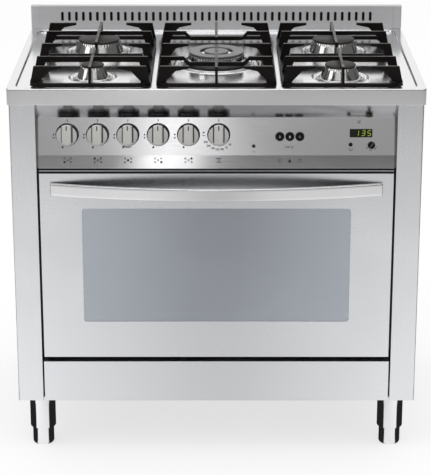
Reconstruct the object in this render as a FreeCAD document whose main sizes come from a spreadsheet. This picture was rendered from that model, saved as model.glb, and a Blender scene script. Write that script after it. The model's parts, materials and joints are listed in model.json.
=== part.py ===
import FreeCAD, Part
import math
import operator
import os
import Sketcher

# A free-standing gas range, 90 cm wide, with five burners, one oven and a storage drawer.
# X runs to the right, Y to the back and Z up. The origin is on the floor, under the middle.

# Driving dimensions, in millimetres, degrees and counts
sizes = {
    # Whole stove
    "worktop_width": 900,
    "worktop_depth": 600,
    "cooktop_height": 850,
    "foot_height": 124,
    "sheet": 1.5,
    "overrun": 10,
    # Worktop tray
    "lip_height": 36,
    "lip_corner": 8,
    "edge_round": 3,
    "hob_recess": 6,
    "hob_side": 18,
    "hob_behind": 34,
    "hob_from_lip": 14,
    "hob_corner": 22,
    "flue_inset": 150,
    "flue_depth": 10,
    # Splashback
    "splash_height": 55.5,
    "end_cap_width": 21,
    "splash_depth": 20,
    "splash_foot": 7,
    "splash_foot_step": 1.5,
    "slot_count": 45,
    "slot_margin": 55,
    "slot_width": 6.5,
    "slot_height": 22.5,
    "slot_rise": 19,
    "slot_end_share": 0.49,
    "cap_round": 5,
    # Body shell
    "body_inset": 4,
    "body_setback": 2,
    "rear_setback": 20,
    "pillar_width": 56,
    "pillar_bend": 3,
    "rear_flange": 20,
    "pan_rim": 25,
    # Feet
    "foot_inset_x": 53,
    "foot_inset_y": 50,
    "sleeve_radius": 29,
    "sleeve_length": 81,
    "sleeve_bevel": 10,
    "sleeve_roof": 10,
    "leg_radius": 24,
    "leg_round": 6,
    "leg_fit": 0.3,
    # Control panel
    "strip_run": 22,
    "strip_drop": 33,
    "face_drop": 79.5,
    "lean": 14,
    "skirt_run": 2,
    "skirt_drop": 29.5,
    "knob_drop": 36,
    "first_knob_inset": 63,
    "oven_knob_x": 5,
    "shaft_hole": 6,
    # Control knobs
    "knob_gap": 0.4,
    "knob_base_radius": 25,
    "knob_base_height": 5,
    "knob_face_radius": 22.5,
    "knob_length": 30,
    "knob_edge": 1.5,
    "grip_width": 20,
    "grip_depth": 14,
    "spindle_radius": 4,
    "spindle_fit": 0.1,
    "spindle_reach": 16,
    # Push buttons, lamp, clock and its two controls
    "button_drop": 40,
    "button_middle_x": 158.6,
    "button_pitch": 21.6,
    "button_radius": 9.6,
    "button_hole_fit": 0.3,
    "button_flange": 0.9,
    "button_rise": 4,
    "button_tail": 8,
    "lamp_x": 80.5,
    "lamp_drop": 60,
    "lamp_radius": 4,
    "lamp_rise": 1.5,
    "lamp_tail": 12,
    "clock_inset": 72.6,
    "clock_drop": 33,
    "clock_width": 49,
    "clock_height": 18,
    "clock_thickness": 4,
    "clock_proud": 0.5,
    "timer_button_inset": 95,
    "timer_button_drop": 57,
    "timer_button_radius": 4,
    "timer_knob_inset": 50.4,
    "timer_knob_drop": 58,
    "timer_knob_radius": 8,
    "timer_knob_length": 14,
    "timer_shaft_radius": 3,
    "timer_grip_width": 5,
    "timer_grip_depth": 7,
    # Burners
    "row_pitch": 246,
    "small_cap_radius": 25,
    "small_ring_radius": 44.5,
    "medium_cap_radius": 34,
    "medium_ring_radius": 54,
    "large_cap_radius": 48,
    "large_ring_radius": 67,
    "wok_cap_radius": 62,
    "wok_ring_radius": 86.5,
    "wok_cap_hole_radius": 37,
    "wok_inner_radius": 24,
    "wok_inner_bore": 14,
    "wok_wall": 8,
    "wok_floor": 6,
    "wok_inner_cap_radius": 27,
    "crown_height": 27,
    "ring_edge": 3,
    "ring_seat": 5,
    "ring_margin": 11,
    "cap_thickness": 4,
    "cap_bevel": 1.2,
    "cap_overhang": 3,
    "cap_plug": 4,
    "cap_plug_fit": 0.5,
    "bore_share": 0.72,
    "spigot_wall": 3,
    "spigot_depth": 8,
    "port_count": 24,
    "port_width": 2.4,
    "port_depth": 5,
    "cup_fit": 0.3,
    "cup_wall": 2.5,
    "cup_height": 32,
    "cup_flange": 6,
    "spark_radius": 3,
    "spark_hole_fit": 0.6,
    "spark_angle": 50,
    "spark_tail": 30,
    "spark_from_edge": 6,
    # Pan supports
    "support_side": 30,
    "support_front": 3,
    "support_behind": 91,
    "support_gap": 12,
    "support_corner": 26,
    "support_bar_width": 10,
    "support_bar_height": 8,
    "support_height": 48,
    "support_foot": 5,
    "support_foot_radius": 6,
    "blade": 6,
    "blade_depth": 9,
    "root_lean": 9,
    "root_width": 20,
    "finger_length": 62,
    "finger_tip": 5,
    "finger_knee": 29,
    "finger_knee_drop": 11,
    "outer_row_inset": 18,
    "short_finger_length": 55,
    "low_bar_drop": 24,
    "front_blade_end": 40,
    "rear_blade_start": 10,
    "blade_end_width": 14,
    "wok_finger_length": 68,
    "wok_long_finger_length": 167,
    "dip_half_width": 60,
    "dip_depth": 12.5,
    "dip_slope": 12,
    # Oven door
    "door_side_gap": 5,
    "door_gap_above": 12,
    "door_gap_below": 11,
    "door_thickness": 45,
    "door_fold": 25,
    "window_side": 91,
    "window_drop": 80,
    "window_rise": 85,
    "window_corner": 7.5,
    "glass_overlap": 6,
    "glass_thickness": 4,
    "inner_frame_inset": 13,
    "inner_frame_rise": 32,
    "inner_window_side": 14,
    "inner_window_edge": 12.5,
    "inner_glass_overlap": 15,
    "hinge_rise": 20,
    "hinge_depth": 15,
    "hinge_inset": 19,
    "hinge_arm_width": 6,
    "hinge_arm_height": 16,
    "hinge_arm_length": 40,
    "hinge_eye_radius": 9,
    "hinge_pin_radius": 4,
    "hinge_pin_fit": 0.1,
    "hinge_body_width": 22,
    "hinge_body_height": 60,
    "hinge_slot_width": 8,
    # Door handle
    "handle_reach": 50,
    "handle_inset": 25,
    "handle_drop": 34,
    "handle_height": 28,
    "handle_thickness": 9,
    "handle_post_inset": 25,
    "handle_post_radius": 8,
    # Oven
    "seal_gap": 3,
    "seal_width": 10,
    "seal_clearance": 0.3,
    "cavity_side": 45,
    "cavity_drop": 40,
    "cavity_behind": 97,
    "cavity_rise": 55,
    "flange_margin": 10,
    "receiver_width": 20,
    "receiver_height": 36,
    "receiver_depth": 45,
    "ladder_inset": 60,
    "ladder_rod": 3,
    "ladder_rung_reach": 14,
    "ladder_rung_count": 4,
    "ladder_top_gap": 80,
    "ladder_first_rung": 60,
    "shelf_wire": 3,
    "shelf_bar": 2,
    "shelf_bar_count": 17,
    "shelf_rear_gap": 6,
    "tray_height": 28,
    "tray_sheet": 1.2,
    "tray_rim": 8,
    "burner_tube_radius": 12,
    "burner_tube_front_gap": 70,
    "burner_tube_rise": 10,
    "burner_saddle_inset": 48,
    "grill_rod_radius": 3.5,
    "grill_bend_radius": 45,
    "grill_front_gap": 125,
    "grill_drop": 25,
    "grill_clip": 6,
    "oven_lamp_radius": 22,
    "oven_lamp_dome": 18,
    "oven_lamp_inset": 95,
    "oven_lamp_drop": 60,
    "oven_lamp_tail": 40,
    # Gas line
    "tap_start": 12,
    "tap_size": 22,
    "manifold_distance": 60,
    "manifold_radius": 9,
    "manifold_end": 23,
    "inlet_inset": 44,
    "inlet_radius": 10.5,
    "inlet_reach": 19,
    "inlet_bore_radius": 6,
    "tap_pipe_radius": 4,
    "tap_pipe_elbow": 5.5,
    "tap_pipe_step": 10.5,
    # Mains terminal box
    "terminal_inset": 146,
    "terminal_z": 200,
    "terminal_width": 90,
    "terminal_height": 70,
    "terminal_depth": 19,
    "gland_radius": 8,
    "gland_length": 16,
    "gland_bore_radius": 4.5,
    # Drawer
    "drawer_height": 95,
    "drawer_side_gap": 3.5,
    "drawer_front_depth": 18,
    "drawer_box_gap": 22,
    "drawer_box_behind": 127,
    "drawer_box_height": 70,
    "drawer_box_rise": 8,
    "drawer_sheet": 1.2,
    "drawer_wing_rise": 40,
    "runner_width": 16,
    "runner_gap": 0.4,
}


class Size:
    # A length that knows its value and the formula that it comes from.
    def __init__(self, value, text):
        self.value = float(value)
        self.text = text

    def __add__(self, other):
        return joined(self, "+", other)

    def __radd__(self, other):
        return joined(other, "+", self)

    def __sub__(self, other):
        return joined(self, "-", other)

    def __rsub__(self, other):
        return joined(other, "-", self)

    def __mul__(self, other):
        return joined(self, "*", other)

    def __rmul__(self, other):
        return joined(other, "*", self)

    def __truediv__(self, other):
        return joined(self, "/", other)

    def __neg__(self):
        return joined(0, "-", self)


signs = {"+": operator.add, "-": operator.sub, "*": operator.mul, "/": operator.truediv}


def plain(number):
    return number if isinstance(number, Size) else Size(number, repr(float(number)))


def joined(left, sign, right):
    left = plain(left)
    right = plain(right)
    return Size(signs[sign](left.value, right.value), f"({left.text} {sign} {right.text})")


def sine(angle):
    return Size(math.sin(math.radians(angle.value)), f"sin({angle.text})")


def cosine(angle):
    return Size(math.cos(math.radians(angle.value)), f"cos({angle.text})")


class Names:
    # The sheet's sizes, read as attributes.
    def __init__(self, values):
        for name, value in values.items():
            setattr(self, name, Size(value, "Sizes." + name))


doc = FreeCAD.newDocument("CookingStove")
sheet = doc.addObject("Spreadsheet::Sheet", "Sizes")
for row, (size_name, size_value) in enumerate(sizes.items(), start=1):
    sheet.set(f"A{row}", size_name)
    sheet.set(f"B{row}", str(size_value))
    sheet.setAlias(f"B{row}", size_name)
doc.recompute()
s = Names(sizes)
nodes = []


def bind(item, **formulas):
    # Ties the named properties of one object to their formulas.
    for name, formula in formulas.items():
        formula = plain(formula)
        whole = name == "Occurrences"
        setattr(item, name, round(formula.value) if whole else formula.value)
        item.setExpression(name, formula.text)


def place(item, x=0, y=0, z=0, turn=None):
    # Puts an object at a point; turn is an axis and an angle in degrees.
    point = [plain(part) for part in (x, y, z)]
    rotation = FreeCAD.Rotation()
    if turn:
        rotation = FreeCAD.Rotation(FreeCAD.Vector(*turn[0]), plain(turn[1]).value)
    item.Placement = FreeCAD.Placement(FreeCAD.Vector(*[part.value for part in point]), rotation)
    for letter, part in zip("xyz", point):
        item.setExpression(f"Placement.Base.{letter}", part.text)
    if turn:
        item.setExpression("Placement.Rotation.Angle", plain(turn[1]).text)
    return item


def node(item, label):
    item.Label = label
    nodes.append(item)
    return item


# Directions for rods: each turns an upright cylinder, and Out is square to the leaning panel
turns = {
    "Z": None,
    "X": ((0, 1, 0), 90),
    "Y": ((1, 0, 0), -90),
    "Out": ((1, 0, 0), 90 - s.lean),
}


def slab(x0, x1, y0, y1, z0, z1):
    item = doc.addObject("Part::Box", "Slab")
    bind(item, Length=x1 - plain(x0), Width=y1 - plain(y0), Height=z1 - plain(z0))
    return place(item, x0, y0, z0)


def rod(radius, length, x, y, z, along="Z"):
    item = doc.addObject("Part::Cylinder", "Rod")
    bind(item, Radius=radius, Height=length)
    return place(item, x, y, z, turns[along])


def fuse(*items):
    item = doc.addObject("Part::MultiFuse", "Joined")
    item.Shapes = list(items)
    item.Refine = True
    return item


def cut(base, *tools):
    item = doc.addObject("Part::Cut", "Cut")
    item.Base = base
    item.Tool = tools[0] if len(tools) == 1 else fuse(*tools)
    item.Refine = True
    return item


def common(first, second):
    item = doc.addObject("Part::Common", "Common")
    item.Base = first
    item.Tool = second
    return item


def group(*items):
    item = doc.addObject("Part::Compound", "Group")
    item.Links = list(items)
    return item


def new_body(label=None):
    body = doc.addObject("PartDesign::Body", "Body")
    return node(body, label) if label else body


def origin_part(body, role):
    return [part for part in body.Origin.OriginFeatures if part.Role == role][0]


def sketch_on(body, plane, offset=0):
    # A sketch on one of the body's own planes, moved along that plane's normal.
    sketch = body.newObject("Sketcher::SketchObject", "Sketch")
    sketch.AttachmentSupport = [(origin_part(body, plane), "")]
    sketch.MapMode = "FlatFace"
    offset = plain(offset)
    moved = FreeCAD.Vector(0, 0, offset.value)
    sketch.AttachmentOffset = FreeCAD.Placement(moved, FreeCAD.Rotation())
    sketch.setExpression("AttachmentOffset.Base.z", offset.text)
    return sketch


def hold(sketch, kind, formula, *references):
    # One measured constraint, tied to its formula.
    formula = plain(formula)
    index = sketch.addConstraint(Sketcher.Constraint(kind, *references, formula.value))
    sketch.setExpression(f"Constraints[{index}]", formula.text)


def hold_point(sketch, x, y, item, end):
    hold(sketch, "DistanceX", x, -1, 1, item, end)
    hold(sketch, "DistanceY", y, -1, 1, item, end)


def outline(sketch, points):
    # A closed outline of straight lines through the points.
    points = [(plain(x), plain(y)) for x, y in points]
    first = sketch.GeometryCount
    count = len(points)
    for index, (x, y) in enumerate(points):
        end_x, end_y = points[(index + 1) % count]
        start = FreeCAD.Vector(x.value, y.value, 0)
        end = FreeCAD.Vector(end_x.value, end_y.value, 0)
        sketch.addGeometry(Part.LineSegment(start, end))
    for index in range(count):
        following = first + (index + 1) % count
        sketch.addConstraint(Sketcher.Constraint("Coincident", first + index, 2, following, 1))
    for index, (x, y) in enumerate(points):
        hold_point(sketch, x, y, first + index, 1)
    return sketch


def rounded(sketch, x0, x1, y0, y1, radius):
    # A rectangle with four round corners, from its low corner to its high corner.
    x0, x1, y0, y1 = plain(x0), plain(x1), plain(y0), plain(y1)
    first = sketch.GeometryCount
    r = radius.value
    centres = [(x1 - radius, y0 + radius), (x1 - radius, y1 - radius),
               (x0 + radius, y1 - radius), (x0 + radius, y0 + radius)]
    for quarter, (x, y) in enumerate(centres):
        start = (quarter - 1) * math.pi / 2
        circle = Part.Circle(FreeCAD.Vector(x.value, y.value, 0), FreeCAD.Vector(0, 0, 1), r)
        sketch.addGeometry(Part.ArcOfCircle(circle, start, start + math.pi / 2))
    arcs = [sketch.Geometry[first + quarter] for quarter in range(4)]
    for quarter in range(4):
        start = arcs[quarter].EndPoint
        end = arcs[(quarter + 1) % 4].StartPoint
        sketch.addGeometry(Part.LineSegment(start, end))
    for quarter, (x, y) in enumerate(centres):
        line = first + 4 + quarter
        following = first + (quarter + 1) % 4
        sketch.addConstraint(Sketcher.Constraint("Tangent", first + quarter, 2, line, 1))
        sketch.addConstraint(Sketcher.Constraint("Tangent", line, 2, following, 1))
        hold_point(sketch, x, y, first + quarter, 3)
        hold(sketch, "Radius", radius, first + quarter)
    return sketch


def ring(sketch, x, y, radius):
    x, y = plain(x), plain(y)
    centre = FreeCAD.Vector(x.value, y.value, 0)
    index = sketch.addGeometry(Part.Circle(centre, FreeCAD.Vector(0, 0, 1), radius.value))
    hold_point(sketch, x, y, index, 3)
    hold(sketch, "Radius", radius, index)
    return sketch


def pad(body, sketch, length, side="One side", back=False):
    item = body.newObject("PartDesign::Pad", "Pad")
    item.Profile = sketch
    item.SideType = side
    item.Reversed = back
    bind(item, Length=length)
    return item


def pocket(body, sketch, length, back=False):
    # A cut that has to take material away.
    doc.recompute()
    before = body.Shape.Volume
    item = body.newObject("PartDesign::Pocket", "Pocket")
    item.Profile = sketch
    item.Reversed = back
    bind(item, Length=length)
    doc.recompute()
    if body.Shape.Volume >= before:
        raise RuntimeError("a pocket cuts nothing in " + body.Label)
    return item


def revolve(body, points):
    # A turned piece; its points are radius and height.
    sketch = outline(sketch_on(body, "XZ_Plane"), points)
    item = body.newObject("PartDesign::Revolution", "Turned")
    item.Profile = sketch
    item.ReferenceAxis = (sketch, ["V_Axis"])
    item.Angle = 360
    return item


def repeat_round(body, feature, count):
    item = body.newObject("PartDesign::PolarPattern", "Round")
    item.Originals = [feature]
    item.Axis = (origin_part(body, "Z_Axis"), [""])
    item.Angle = 360
    bind(item, Occurrences=count)
    body.Tip = item
    return item


def repeat_along(body, feature, length, count):
    item = body.newObject("PartDesign::LinearPattern", "Row")
    item.Originals = [feature]
    item.Direction = (origin_part(body, "X_Axis"), [""])
    bind(item, Length=length, Occurrences=count)
    body.Tip = item
    return item


def round_edges(body, feature, radius, wanted):
    # Rounds the edges of a feature that the test picks by their middle point.
    doc.recompute()
    names = []
    for index, edge in enumerate(feature.Shape.Edges, start=1):
        if wanted(edge.CenterOfMass, edge.BoundBox):
            names.append(f"Edge{index}")
    item = body.newObject("PartDesign::Fillet", "Rounded")
    item.Base = (feature, names)
    bind(item, Radius=radius)
    return item


# Planes and heights that several pieces share
front = (s.handle_reach - s.worktop_depth) / 2
rear = front + s.worktop_depth
top = s.cooktop_height
half_width = s.worktop_width / 2
hob = top - s.hob_recess
hob_half = half_width - s.hob_side
hob_front = front + s.hob_from_lip
hob_rear = rear - s.hob_behind
splash_half = half_width - s.end_cap_width
lip_bottom = top - s.lip_height
body_front = front + s.body_setback
body_rear = rear - s.rear_setback
body_half = half_width - s.body_inset
body_top = hob - s.sheet
opening_half = body_half - s.pillar_width
face_top = lip_bottom - s.strip_drop
panel_bottom = face_top - s.face_drop - s.skirt_drop
lean_run = sine(s.lean) / cosine(s.lean)
door_half = opening_half - s.door_side_gap
door_top = panel_bottom - s.door_gap_above
drawer_top = s.foot_height + s.drawer_height
door_bottom = drawer_top + s.door_gap_below
door_back = body_front + s.door_thickness
flange_front = door_back + s.seal_gap
back_sheet_front = body_rear - s.sheet - s.sheet
cavity_half = opening_half - s.cavity_side
cavity_bottom = door_bottom + s.cavity_rise
cavity_top = door_top - s.cavity_drop
cavity_rear = back_sheet_front - s.cavity_behind
window_half = door_half - s.window_side
window_low = door_bottom + s.window_rise
window_high = door_top - s.window_drop
hinge_x = door_half - s.hinge_inset
inlet_x = body_half - s.inlet_inset
drawer_side = opening_half - s.drawer_box_gap
drawer_end = back_sheet_front - s.drawer_box_behind
support_depth = hob_rear - hob_front - s.support_front - s.support_behind
support_width = (2 * hob_half - 2 * s.support_side - 2 * s.support_gap) / 3
column_pitch = support_width + s.support_gap
row_middle = hob_front + s.support_front + support_depth / 2
row_step = s.row_pitch / 2
first_knob_x = s.first_knob_inset - door_half
knob_pitch = (s.oven_knob_x - first_knob_x) / 5
clock_x = door_half - s.clock_inset
timer_button_x = door_half - s.timer_button_inset
timer_knob_x = door_half - s.timer_knob_inset


def on_face(drop, distance=0):
    # Y and Z of a point on the leaning panel, and a distance out along its normal.
    y = front + s.strip_run - lean_run * drop - cosine(s.lean) * distance
    z = face_top - drop + sine(s.lean) * distance
    return y, z


# Each burner: its place, and the radii of its cap and of its ring on the hob
burners = {
    "front_left": (-column_pitch, row_middle - row_step, s.small_cap_radius, s.small_ring_radius),
    "rear_left": (-column_pitch, row_middle + row_step, s.large_cap_radius, s.large_ring_radius),
    "centre": (plain(0), row_middle, s.wok_cap_radius, s.wok_ring_radius),
    "rear_right": (column_pitch, row_middle + row_step, s.large_cap_radius, s.large_ring_radius),
    "front_right": (column_pitch, row_middle - row_step, s.medium_cap_radius, s.medium_ring_radius),
}

# The burners in the order of their knobs, from the left
knob_order = ["front_left", "rear_left", "centre", "front_right", "rear_right"]


def spigot_radius(name):
    cap_radius = burners[name][2]
    if name == "centre":
        return cap_radius - s.cap_overhang + s.spigot_wall
    return cap_radius * s.bore_share + s.spigot_wall


def worktop():
    # A pressed tray: a lip all round, and a hob sunk into it, with a hole for each burner.
    body = new_body("worktop")
    sketch = sketch_on(body, "XY_Plane", lip_bottom)
    rounded(sketch, -half_width, half_width, front, rear, s.lip_corner)
    block = pad(body, sketch, s.lip_height)
    round_edges(body, block, s.edge_round, lambda middle, box: box.ZMin > top.value - s.sheet.value)
    sketch = sketch_on(body, "XY_Plane", top)
    rounded(sketch, -hob_half, hob_half, hob_front, hob_rear, s.hob_corner)
    pocket(body, sketch, s.hob_recess)
    inner_corner = s.lip_corner - s.sheet
    inner = (s.sheet - half_width, half_width - s.sheet, front + s.sheet, rear - s.sheet)
    sketch = sketch_on(body, "XY_Plane", lip_bottom)
    rounded(sketch, *inner, inner_corner)
    pocket(body, sketch, body_top - lip_bottom, back=True)
    sketch = sketch_on(body, "XY_Plane", lip_bottom)
    rounded(sketch, *inner, inner_corner)
    rounded(sketch, -hob_half - s.sheet, hob_half + s.sheet, hob_front - s.sheet, hob_rear + s.sheet,
            s.hob_corner + s.sheet)
    pocket(body, sketch, s.lip_height - s.sheet, back=True)
    sketch = sketch_on(body, "XY_Plane", top)
    for x, y, cap_radius, ring_radius in burners.values():
        ring(sketch, x, y, ring_radius - s.ring_seat)
    pocket(body, sketch, s.lip_height)
    flue_middle = rear - s.splash_depth / 2
    flue_half = half_width - s.flue_inset
    sketch = sketch_on(body, "XY_Plane", top)
    flue_front = flue_middle - s.flue_depth / 2
    flue_back = flue_middle + s.flue_depth / 2
    outline(sketch, [(-flue_half, flue_front), (flue_half, flue_front), (flue_half, flue_back),
                     (-flue_half, flue_back)])
    pocket(body, sketch, s.lip_height)


def splashback():
    # A folded channel across the back, open below, with upright vents in its front sheet.
    body = new_body("splashback_panel")
    low = rear - s.splash_depth
    high = rear - s.sheet
    foot = low - s.splash_foot_step
    crest = top + s.splash_height
    inner = s.sheet + low
    sketch = sketch_on(body, "YZ_Plane")
    outline(sketch, [(foot, top), (foot, top + s.splash_foot), (low, top + s.splash_foot), (low, crest),
                     (high, crest), (high, top), (high - s.sheet, top), (high - s.sheet, crest - s.sheet),
                     (inner, crest - s.sheet), (inner, top)])
    pad(body, sketch, 2 * splash_half, side="Symmetric")
    first = s.slot_margin - splash_half
    sketch = sketch_on(body, "XZ_Plane", -inner)
    rounded(sketch, first - s.slot_width / 2, first + s.slot_width / 2, top + s.slot_rise,
            top + s.slot_rise + s.slot_height, s.slot_width * s.slot_end_share)
    slot = pocket(body, sketch, s.overrun, back=True)
    repeat_along(body, slot, -2 * first, s.slot_count)


def splashback_end_caps():
    caps = []
    for side in (-1, 1):
        body = new_body()
        inner = side * splash_half
        outer = side * half_width
        low_x, high_x = (outer, inner) if side < 0 else (inner, outer)
        sketch = sketch_on(body, "XY_Plane", top)
        outline(sketch, [(low_x, rear - s.splash_depth), (high_x, rear - s.splash_depth),
                         (high_x, rear), (low_x, rear)])
        block = pad(body, sketch, s.splash_height)
        edge = outer.value
        front_line = (rear - s.splash_depth).value
        round_edges(body, block, s.cap_round,
                    lambda middle, box: abs(middle.x - edge) < s.sheet.value
                    and abs(middle.y - front_line) < s.sheet.value)
        caps.append(body)
    node(group(*caps), "splashback_end_caps")


def burner_cups():
    cups = []
    for name, (x, y, cap_radius, ring_radius) in burners.items():
        inner = spigot_radius(name) + s.cup_fit
        outer = inner + s.cup_wall
        flange = ring_radius - s.ring_seat + s.cup_flange
        high = -s.sheet
        low = high - s.cup_height
        body = new_body()
        revolve(body, [(0, low), (outer, low), (outer, high - s.cup_wall), (flange, high - s.cup_wall),
                       (flange, high), (inner, high), (inner, low + s.cup_wall), (0, low + s.cup_wall)])
        pocket(body, spark_hole(body, name, s.spark_hole_fit / 2), s.spark_tail * 2)
        place(body, x, y, hob)
        cups.append(body)
    node(group(*cups), "burner_cups")


def spark_place(name):
    ring_radius = burners[name][3]
    distance = ring_radius - s.ring_seat - s.spark_from_edge
    return distance * cosine(s.spark_angle), distance * sine(s.spark_angle)


def spark_hole(body, name, fit):
    x, y = spark_place(name)
    return ring(sketch_on(body, "XY_Plane", s.crown_height), x, y, s.spark_radius + fit)


def burner_crowns():
    # Turned aluminium crowns: a seat ring, a cone and a row of flame ports under the cap.
    for name, (x, y, cap_radius, ring_radius) in burners.items():
        body = new_body("burner_crown_" + name)
        spigot = spigot_radius(name)
        crest = cap_radius - s.cap_overhang
        points = [(spigot, -s.spigot_depth), (spigot, 0), (ring_radius, 0), (ring_radius, s.ring_edge),
                  (ring_radius - s.ring_margin, s.ring_edge), (crest, s.crown_height)]
        if name == "centre":
            bore = s.wok_inner_bore
            points += [(crest - s.wok_wall, s.crown_height), (crest - s.wok_wall, s.wok_floor),
                       (s.wok_inner_radius, s.wok_floor), (s.wok_inner_radius, s.crown_height)]
        else:
            bore = cap_radius * s.bore_share
        points += [(bore, s.crown_height), (bore, -s.spigot_depth)]
        revolve(body, points)
        pocket(body, spark_hole(body, name, s.spark_hole_fit), s.spark_tail * 2)
        sketch = sketch_on(body, "XY_Plane", s.crown_height)
        port_start = s.wok_inner_radius + s.port_width if name == "centre" else plain(0)
        outline(sketch, [(port_start, -s.port_width / 2), (ring_radius, -s.port_width / 2),
                         (ring_radius, s.port_width / 2), (port_start, s.port_width / 2)])
        port = pocket(body, sketch, s.port_depth)
        repeat_round(body, port, s.port_count)
        place(body, x, y, hob)


def cap_profile(radius, plug):
    low = s.crown_height
    high = low + s.cap_thickness
    return [(0, low - s.cap_plug), (plug, low - s.cap_plug), (plug, low), (radius, low),
            (radius, high - s.cap_bevel), (radius - s.cap_bevel, high), (0, high)]


def burner_caps():
    for name, (x, y, cap_radius, ring_radius) in burners.items():
        if name == "centre":
            continue
        body = new_body("burner_cap_" + name)
        revolve(body, cap_profile(cap_radius, cap_radius * s.bore_share - s.cap_plug_fit))
        place(body, x, y, hob)
    wok_caps()


def wok_caps():
    # The triple-crown burner has an annular cap and a small cap in its middle.
    x, y, cap_radius, ring_radius = burners["centre"]
    low = s.crown_height
    high = low + s.cap_thickness
    hole = s.wok_cap_hole_radius
    plug = cap_radius - s.cap_overhang - s.wok_wall - s.cap_plug_fit
    annulus = new_body()
    revolve(annulus, [(hole, low), (plug - s.cap_plug, low), (plug - s.cap_plug, low - s.cap_plug),
                      (plug, low - s.cap_plug), (plug, low), (cap_radius, low),
                      (cap_radius, high - s.cap_bevel), (cap_radius - s.cap_bevel, high),
                      (hole + s.cap_bevel, high), (hole, high - s.cap_bevel)])
    place(annulus, x, y, hob)
    middle = new_body()
    revolve(middle, cap_profile(s.wok_inner_cap_radius, s.wok_inner_bore - s.cap_plug_fit))
    place(middle, x, y, hob)
    node(group(annulus, middle), "burner_cap_centre")


def spark_electrodes():
    rods = []
    for name, (x, y, cap_radius, ring_radius) in burners.items():
        spark_x, spark_y = spark_place(name)
        length = s.crown_height - s.ring_edge + s.spark_tail
        rods.append(rod(s.spark_radius, length, x + spark_x, y + spark_y, hob - s.spark_tail))
    node(group(*rods), "spark_electrodes")


def plate(body, plane, offset, points):
    # One cast blade of a pan support, centred on its plane.
    pad(body, outline(sketch_on(body, plane, offset), points), s.blade, side="Symmetric")


def finger(half, tip, sign=1):
    # A finger from the frame to its tip, on one side of the middle.
    low = s.support_foot
    high = s.support_height
    root_inner = half - s.root_width
    knee = tip + s.finger_knee
    points = [(half, low), (half - s.root_lean, high), (tip, high), (tip, high - s.finger_tip),
              (knee, high - s.finger_knee_drop), (root_inner, low + s.support_bar_height),
              (root_inner, low)]
    return [(sign * x, z) for x, z in points]


def bridge(half, dip):
    # A bar right across the frame; it may dip in the middle.
    low = s.support_foot
    high = s.support_height
    under = high - s.blade_depth
    root_inner = half - s.root_width
    shoulder = root_inner - s.root_lean
    right = [(half, low), (half - s.root_lean, high)]
    lower = [(shoulder, under), (root_inner, low + s.support_bar_height), (root_inner, low)]
    if dip:
        far = s.dip_half_width + s.dip_slope
        right += [(far, high), (s.dip_half_width, high - s.dip_depth)]
        lower = [(s.dip_half_width, under - s.dip_depth), (far, under)] + lower
    mirrored_right = [(-x, z) for x, z in right]
    mirrored_lower = [(-x, z) for x, z in lower]
    return right + mirrored_right[::-1] + mirrored_lower[::-1] + lower


def pan_support(label, centre_x, wok):
    # Cast iron: a low frame on four feet, with fingers and bars that carry the pans.
    body = new_body(label)
    half_x = support_width / 2
    half_y = support_depth / 2
    outer_row = half_y - s.outer_row_inset
    low = s.support_foot
    high = s.support_height
    bar = s.support_bar_width
    sketch = sketch_on(body, "XY_Plane", low)
    rounded(sketch, -half_x, half_x, -half_y, half_y, s.support_corner)
    rounded(sketch, bar - half_x, half_x - bar, bar - half_y, half_y - bar, s.support_corner - bar)
    pad(body, sketch, s.support_bar_height)
    sketch = sketch_on(body, "XY_Plane")
    for side in (-1, 1):
        for y in (-row_step, row_step):
            ring(sketch, side * (half_x - bar / 2), y, s.support_foot_radius)
    pad(body, sketch, low + s.support_bar_height / 2)
    for y in (-outer_row, outer_row):
        for side in (-1, 1):
            plate(body, "XZ_Plane", -y, finger(half_x, half_x - s.root_lean - s.finger_length, side))
    for y in (-row_step, row_step):
        plate(body, "XZ_Plane", -y, bridge(half_x, wok))
    middle_length = s.wok_finger_length if wok else s.short_finger_length
    for side in (-1, 1):
        plate(body, "XZ_Plane", 0, finger(half_x, half_x - middle_length, side))
    if wok:
        for side in (-1, 1):
            plate(body, "YZ_Plane", 0, finger(half_y, half_y - s.wok_long_finger_length, side))
    else:
        long_blades(body, half_x, half_y)
    place(body, centre_x, row_middle, hob)


def long_blades(body, half_x, half_y):
    # The two blades along a side support, and the low bar that they stand on.
    low = s.support_foot
    high = s.support_height
    bar_top = high - s.low_bar_drop
    bar_low = bar_top - s.blade_depth
    under = high - s.blade_depth
    edge = half_x - s.support_bar_width / 2
    right = [(edge, low), (edge, low + s.support_bar_height), (edge - s.root_width, bar_low + s.finger_tip),
             (edge - s.root_width, bar_top)]
    left = [(-x, z) for x, z in right]
    plate(body, "XZ_Plane", 0, right + left[::-1])
    root_inner = half_y - s.root_width
    shoulder = root_inner - s.root_lean
    end = s.front_blade_end
    start = s.rear_blade_start
    thick = s.blade_end_width
    plate(body, "YZ_Plane", 0, [(-half_y, low), (s.root_lean - half_y, high), (-end, high), (0, bar_top),
                                (0, bar_low), (-thick, bar_low), (-end - thick, under), (-shoulder, under),
                                (-root_inner, low + s.support_bar_height), (-root_inner, low)])
    plate(body, "YZ_Plane", 0, [(half_y, low), (half_y - s.root_lean, high), (start, high), (start, bar_top),
                                (0, bar_top), (0, bar_low), (start + thick, bar_low), (start + thick, under),
                                (shoulder, under), (root_inner, low + s.support_bar_height),
                                (root_inner, low)])


def panel_points():
    # Outer line of the control panel in side view, from the lip down.
    return [(front, lip_bottom), (front + s.strip_run, face_top),
            (front + s.strip_run - lean_run * s.face_drop, face_top - s.face_drop),
            (front + s.strip_run - lean_run * s.face_drop - s.skirt_run, panel_bottom)]


def knob_x(index):
    return first_knob_x + index * knob_pitch


def button_x(index):
    return s.button_middle_x + (index - 1) * s.button_pitch


def hole_out(radius, x, drop):
    y, z = on_face(drop, -s.overrun)
    return rod(radius, 2 * s.overrun, x, y, z, "Out")


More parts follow.
